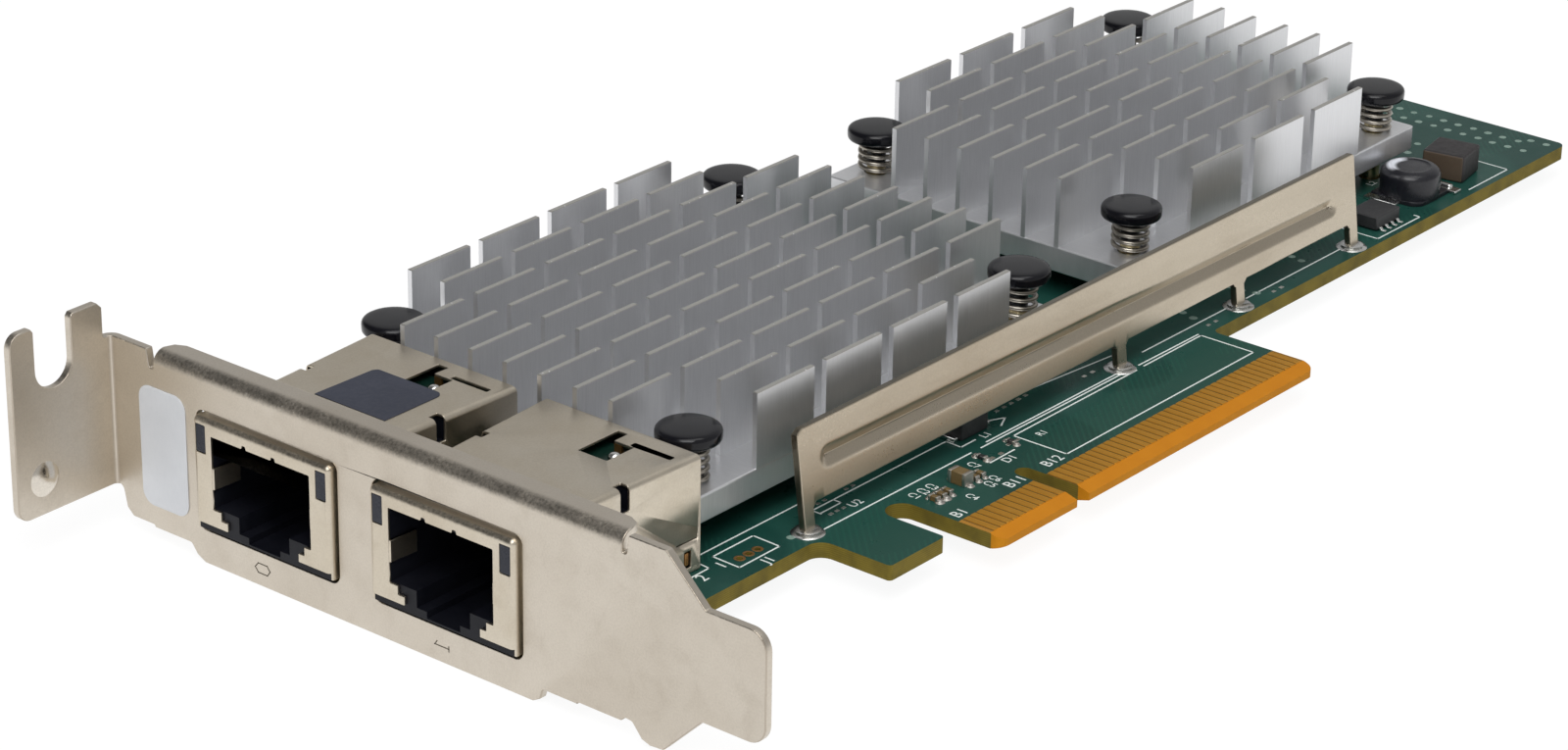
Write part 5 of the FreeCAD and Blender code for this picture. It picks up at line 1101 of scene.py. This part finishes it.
marks = [("B1", 47.5, -6.35, 1.25, 0), ("B11", 56.3, -6.2, 1.25, 0), ("B12", 62.3, -6.1, 1.25, 0),
         ("1", 24.8, 3.3, 1.3, 0), ("2", 21.7, 2.9, 1.3, 0), ("C1", 47.6, -0.95, 0.85, -90),
         ("C2", 48.9, -0.95, 0.85, -90), ("C3", 50.2, -0.95, 0.85, -90), ("C4", 51.0, -5.1, 0.85, -90),
         ("C5", 54.3, -4.7, 0.85, -90), ("C6", 55.6, -4.3, 0.85, -90), ("U2", 42.8, 2.2, 1.0, 0),
         ("L1", 62.8, 2.2, 0.9, 0), ("D1", 60.0, -2.75, 1.0, 0), ("J1", 28.4, 0.75, 1.2, 0),
         ("C7", 56.6, -1.0, 0.85, -90), ("R1", 66.7, -1.6, 0.85, 0), ("U5", 146.4, 9.8, 1.0, 0),
         ("L2", 143.0, 9.9, 0.9, 0), ("C8", 153.4, 8.6, 0.85, 0)]
stamps = []
for text, x, y, high, turn in marks:
    angle = math.radians(turn)
    across = (math.cos(angle), math.sin(angle), 0)
    up = (-math.sin(angle), math.cos(angle), 0)
    stamps.append(printText("mark" + text, text, high, (x, y, board["inkHigh"] / 2), across, up, board["inkHigh"]))
boardMarks = joinPieces("boardMarks", stamps)
finishPiece(boardMarks, finishes["ink"], "board_laminate")
print("board printed")

# parts on the board, softened: node, piece, rounded edge, its steps, finish and slot
for node, name, edge, steps, finish, slot in (
        ("power_chip", "powerChip", 0.18, 2, "chip", "chip_plastic"),
        ("memory_chip", "memoryChip", 0.2, 2, "chip", "chip_plastic"),
        ("rail_inductor", "railInductor", 0.16, 2, "chip", "chip_plastic"),
        ("film_capacitor", "filmCapacitor", 0.28, 3, "filmBlock", "capacitor_plastic"),
        ("clock_crystal", "clockCrystal", 0.3, 3, "can", "crystal_can"),
        ("chip_capacitors", "chipCapacitors", 0.04, 1, "tanCeramic", "capacitor_ceramic"),
        ("chip_resistors", "chipResistors", 0.04, 1, "darkCeramic", "resistor_ceramic"),
        ("chip_part_terminals", "chipEndCaps", 0.05, 2, "endCap", "solder_tin"),
        ("inductor_terminals", "drumTerminals", 0.08, 2, "solder", "solder_tin"),
        ("rail_inductor_terminals", "railInductorTerminals", 0.08, 2, "solder", "solder_tin")):
    finishPiece(soften(copySolid(node, name), edge, steps), finishes[finish], slot, node)

# round inductor: its drum on a square foot, sized beside its finish, and the joint beside it
r = drum["radius"]
top = drum["high"]
x, y = drum["centre"]
half = drum["footHalf"]
drumProfile = [(0, drum["low"]), (r - 0.1, drum["low"]), (r, drum["low"] + 0.12), (r, top - 0.8),
               (r - 0.12, top - 0.45), (r - 0.4, top - 0.18), (r - 0.8, top - 0.04), (r - 1.1, top),
               (r - 1.25, top - 0.1), (r - 1.6, top - 0.1), (0.4, top - 0.06), (0, top - 0.06)]
drumBody = place(makeObject("drum", turnProfile("drum", drumProfile, 56)), shiftBy(x, y, 0))
footLoop = roundLoop(boxLoop(x - half, y - half, x + half, y + half), [1.6, 0.3, 1.6, 0.3], 4)
foot = place(drawPlate("drumFoot", [footLoop], drum["footThick"], 0.06, 2), shiftBy(0, 0, drum["footThick"] / 2))
inductor = joinPieces("roundInductor", [drumBody, foot])
jointLoop = roundLoop([(146.7, 2.2), (147.5, 2.2), (147.4, 4.8), (146.6, 4.8)], 0.35, 4)
joint = place(drawPlate("drumJoint", [jointLoop], 0.7, 0.28, 3), shiftBy(0, 0, 0.36))
smooth(joint, 70)
finishPiece(joint, finishes["solder"], "solder_tin")
smooth(inductor, 40)
finishPiece(inductor, finishes["ferrite"], "inductor_ceramic", "round_inductor")

tabLoop = [(0, 0.02), (0.45, 0.02), (0.62, 0.1), (0.7, 0.25), (0.9, 0.3), (0.9, 0.42), (0.62, 0.42), (0.5, 0.3),
           (0.4, 0.16), (0, 0.16)]


def makeLeads(name, node, wide, rows):  # gull-wing leads: (x, y, heading) for each one
    leads = []
    for heading in (0, 180):
        spots = [(x, y, 0) for x, y, way in rows if way == heading]
        lead = place(drawPlate(name + "Lead", [tabLoop], wide, 0.02, 1), frameOf((0, 0, 0), *facingOut))
        leads.append(repeatPiece(f"{name}{heading}", lead.data, spots, finishes["solder"], math.radians(heading)))
        bpy.data.objects.remove(lead)
    joined = joinPieces(name, leads)
    finishPiece(joined, finishes["solder"], "solder_tin", node)


makeLeads("powerLeads", "power_chip_leads", 0.4, [(132.05 + 1.1 * k, 1.15, 0) for k in range(4)]
          + [(132.05 + 1.1 * k, 6.35, 180) for k in range(4)])
makeLeads("memoryLeads", "memory_chip_leads", 0.42, [(85.76 + 1.27 * k, 10.1, 0) for k in range(4)]
          + [(85.76 + 1.27 * k, 15.8, 180) for k in range(4)])

blobSpots = [(52.75, -3.6, 0), (52.75, -1.2, 0)]
for x, y in ((48.1, -2.9), (49.1, -2.9), (50.1, -2.9), (54.1, -2.9), (55.1, -2.9), (58.3, -0.7), (62.95, -0.7)):
    blobSpots += [(x, y - 0.68, 0), (x, y + 0.68, 0)]
blobSpots += [(59.9, 4.2, 0.05), (65.2, 4.2, 0.05)]
# small joints use the darker tin copy: painted shade
blobs = repeatPiece("partSolder", turnProfile("blob", filletProfile(*solder["part"]), 16), blobSpots,
                    finishes["partTin"], 0.0, 3.0, 0.25, 41)
smooth(blobs, 60)
finishPiece(blobs, None, "solder_tin")

# fixing screws and threaded inserts under the board
for node, name, edge, finish, slot in (("bracket_screws", "bracketScrews", 0.22, "screw", "screw_steel"),
                                       ("threaded_inserts", "threadedInserts", 0.08, "brassTurned", "insert_brass")):
    finishPiece(soften(copySolid(node, name), edge, 2, 50), finishes[finish], slot, node)
print("small parts placed")

# stage: white floor that keeps a soft shadow, pale back, soft light and the photograph's camera
studio = {"floor": -3.93, "reach": 3000, "glow": 1.065, "low": 0.62, "middle": 0.5, "above": 0.42, "shade": 0.22,
          "side": 0.72, "key": 3.6, "fill": 2.0}


def makeStageFloor():
    reach = studio["reach"]
    corners = [(x, y, studio["floor"]) for x, y in boxLoop(-reach, -reach, reach, reach)]
    floor = makeObject("studioFloor", makeMesh("studioFloor", corners, [(0, 1, 2, 3)]))
    finish = bpy.data.materials.new("studioWhite")
    finish.use_nodes = True
    tree = finish.node_tree
    tree.nodes.remove(tree.nodes["Principled BSDF"])
    path = tree.nodes.new("ShaderNodeLightPath")
    seen = mathNode(tree, "MAXIMUM", path.outputs["Is Camera Ray"],
                    mathNode(tree, "MAXIMUM", path.outputs["Is Glossy Ray"], path.outputs["Is Transmission Ray"]))
    matte = addNode(tree, "ShaderNodeBsdfDiffuse", {"Color": (0.86, 0.86, 0.86, 1)})
    glow = addNode(tree, "ShaderNodeEmission", {"Color": (1, 1, 1, 1), "Strength": studio["glow"]})
    both = addNode(tree, "ShaderNodeMixShader", {0: mathNode(tree, "MULTIPLY", seen, 0.86), 1: matte.outputs[0],
                                                 2: glow.outputs[0]})
    tree.links.new(both.outputs[0], tree.nodes["Material Output"].inputs[0])
    setFinish(floor, finish)


def makeWorld():
    world = bpy.data.worlds.new("studioAir")
    scene.world = world
    world.use_nodes = True
    tree = world.node_tree
    where = addNode(tree, "ShaderNodeTexCoord").outputs["Generated"]
    way = axesOf(tree, where)
    height = way[2]
    tone = mathNode(tree, "MINIMUM", ramp(tree, height, 0.0, 0.42, studio["low"], studio["middle"]),
                    ramp(tree, height, 0.42, 0.75, studio["middle"], studio["above"]))
    shaded = mathNode(tree, "MULTIPLY", ramp(tree, way[0], 0.45, 0.1),  # a dim corner behind, on the left
                      ramp(tree, way[1], 0.0, 0.25))
    shaded = mathNode(tree, "MULTIPLY", shaded, ramp(tree, height, 0.12, 0.3))
    tone = mathNode(tree, "MULTIPLY", tone, ramp(tree, shaded, 0.0, 1.0, 1.0, studio["shade"]))
    right = mathNode(tree, "MULTIPLY", ramp(tree, way[0], 0.3, 0.55), ramp(tree, way[1], -0.3, -0.5))
    right = mathNode(tree, "MULTIPLY", right, ramp(tree, height, 0.1, 0.25))
    tone = mathNode(tree, "MULTIPLY", tone, ramp(tree, right, 0.0, 1.0, 1.0, studio["side"]))
    path = tree.nodes.new("ShaderNodeLightPath")
    strength = mathNode(tree, "MAXIMUM", tone, path.outputs["Is Camera Ray"])
    tree.links.new(strength, tree.nodes["Background"].inputs["Strength"])
    tree.nodes["Background"].inputs["Color"].default_value = (1, 1, 1, 1)


def addLamp(name, spot, aim, size, watts):
    light = bpy.data.lights.new(name, "AREA")
    light.shape = "RECTANGLE"
    light.size, light.size_y = size
    light.energy = watts
    lamp = bpy.data.objects.new(name, light)
    scene.collection.objects.link(lamp)
    lamp.location = spot
    lamp.rotation_euler = (Vector(aim) - Vector(spot)).to_track_quat("-Z", "Y").to_euler()


makeStageFloor()
makeWorld()
addLamp("softKey", (-0.35, -0.25, 0.65), (0.07, 0.02, 0), (0.5, 0.5), studio["key"])
addLamp("softFill", (0.06, -0.08, 0.95), (0.08, 0.02, 0), (0.7, 0.5), studio["fill"])

camera = {"focal": 102.8807, "sensor": 36, "near": 0.01, "spot": (-0.252149, -0.228668, 0.180879),
          "turn": (65.8408, -0.8541, -50.5178)}
view = bpy.data.cameras.new("photoView")
view.lens = camera["focal"]
view.sensor_width = camera["sensor"]
view.sensor_fit = "HORIZONTAL"
view.clip_start = camera["near"]
cameraObject = bpy.data.objects.new("photoView", view)
scene.collection.objects.link(cameraObject)
cameraObject.location = camera["spot"]
cameraObject.rotation_euler = [math.radians(angle) for angle in camera["turn"]]
scene.camera = cameraObject
scene.view_settings.view_transform = "Standard"

print("stage lit, camera placed")
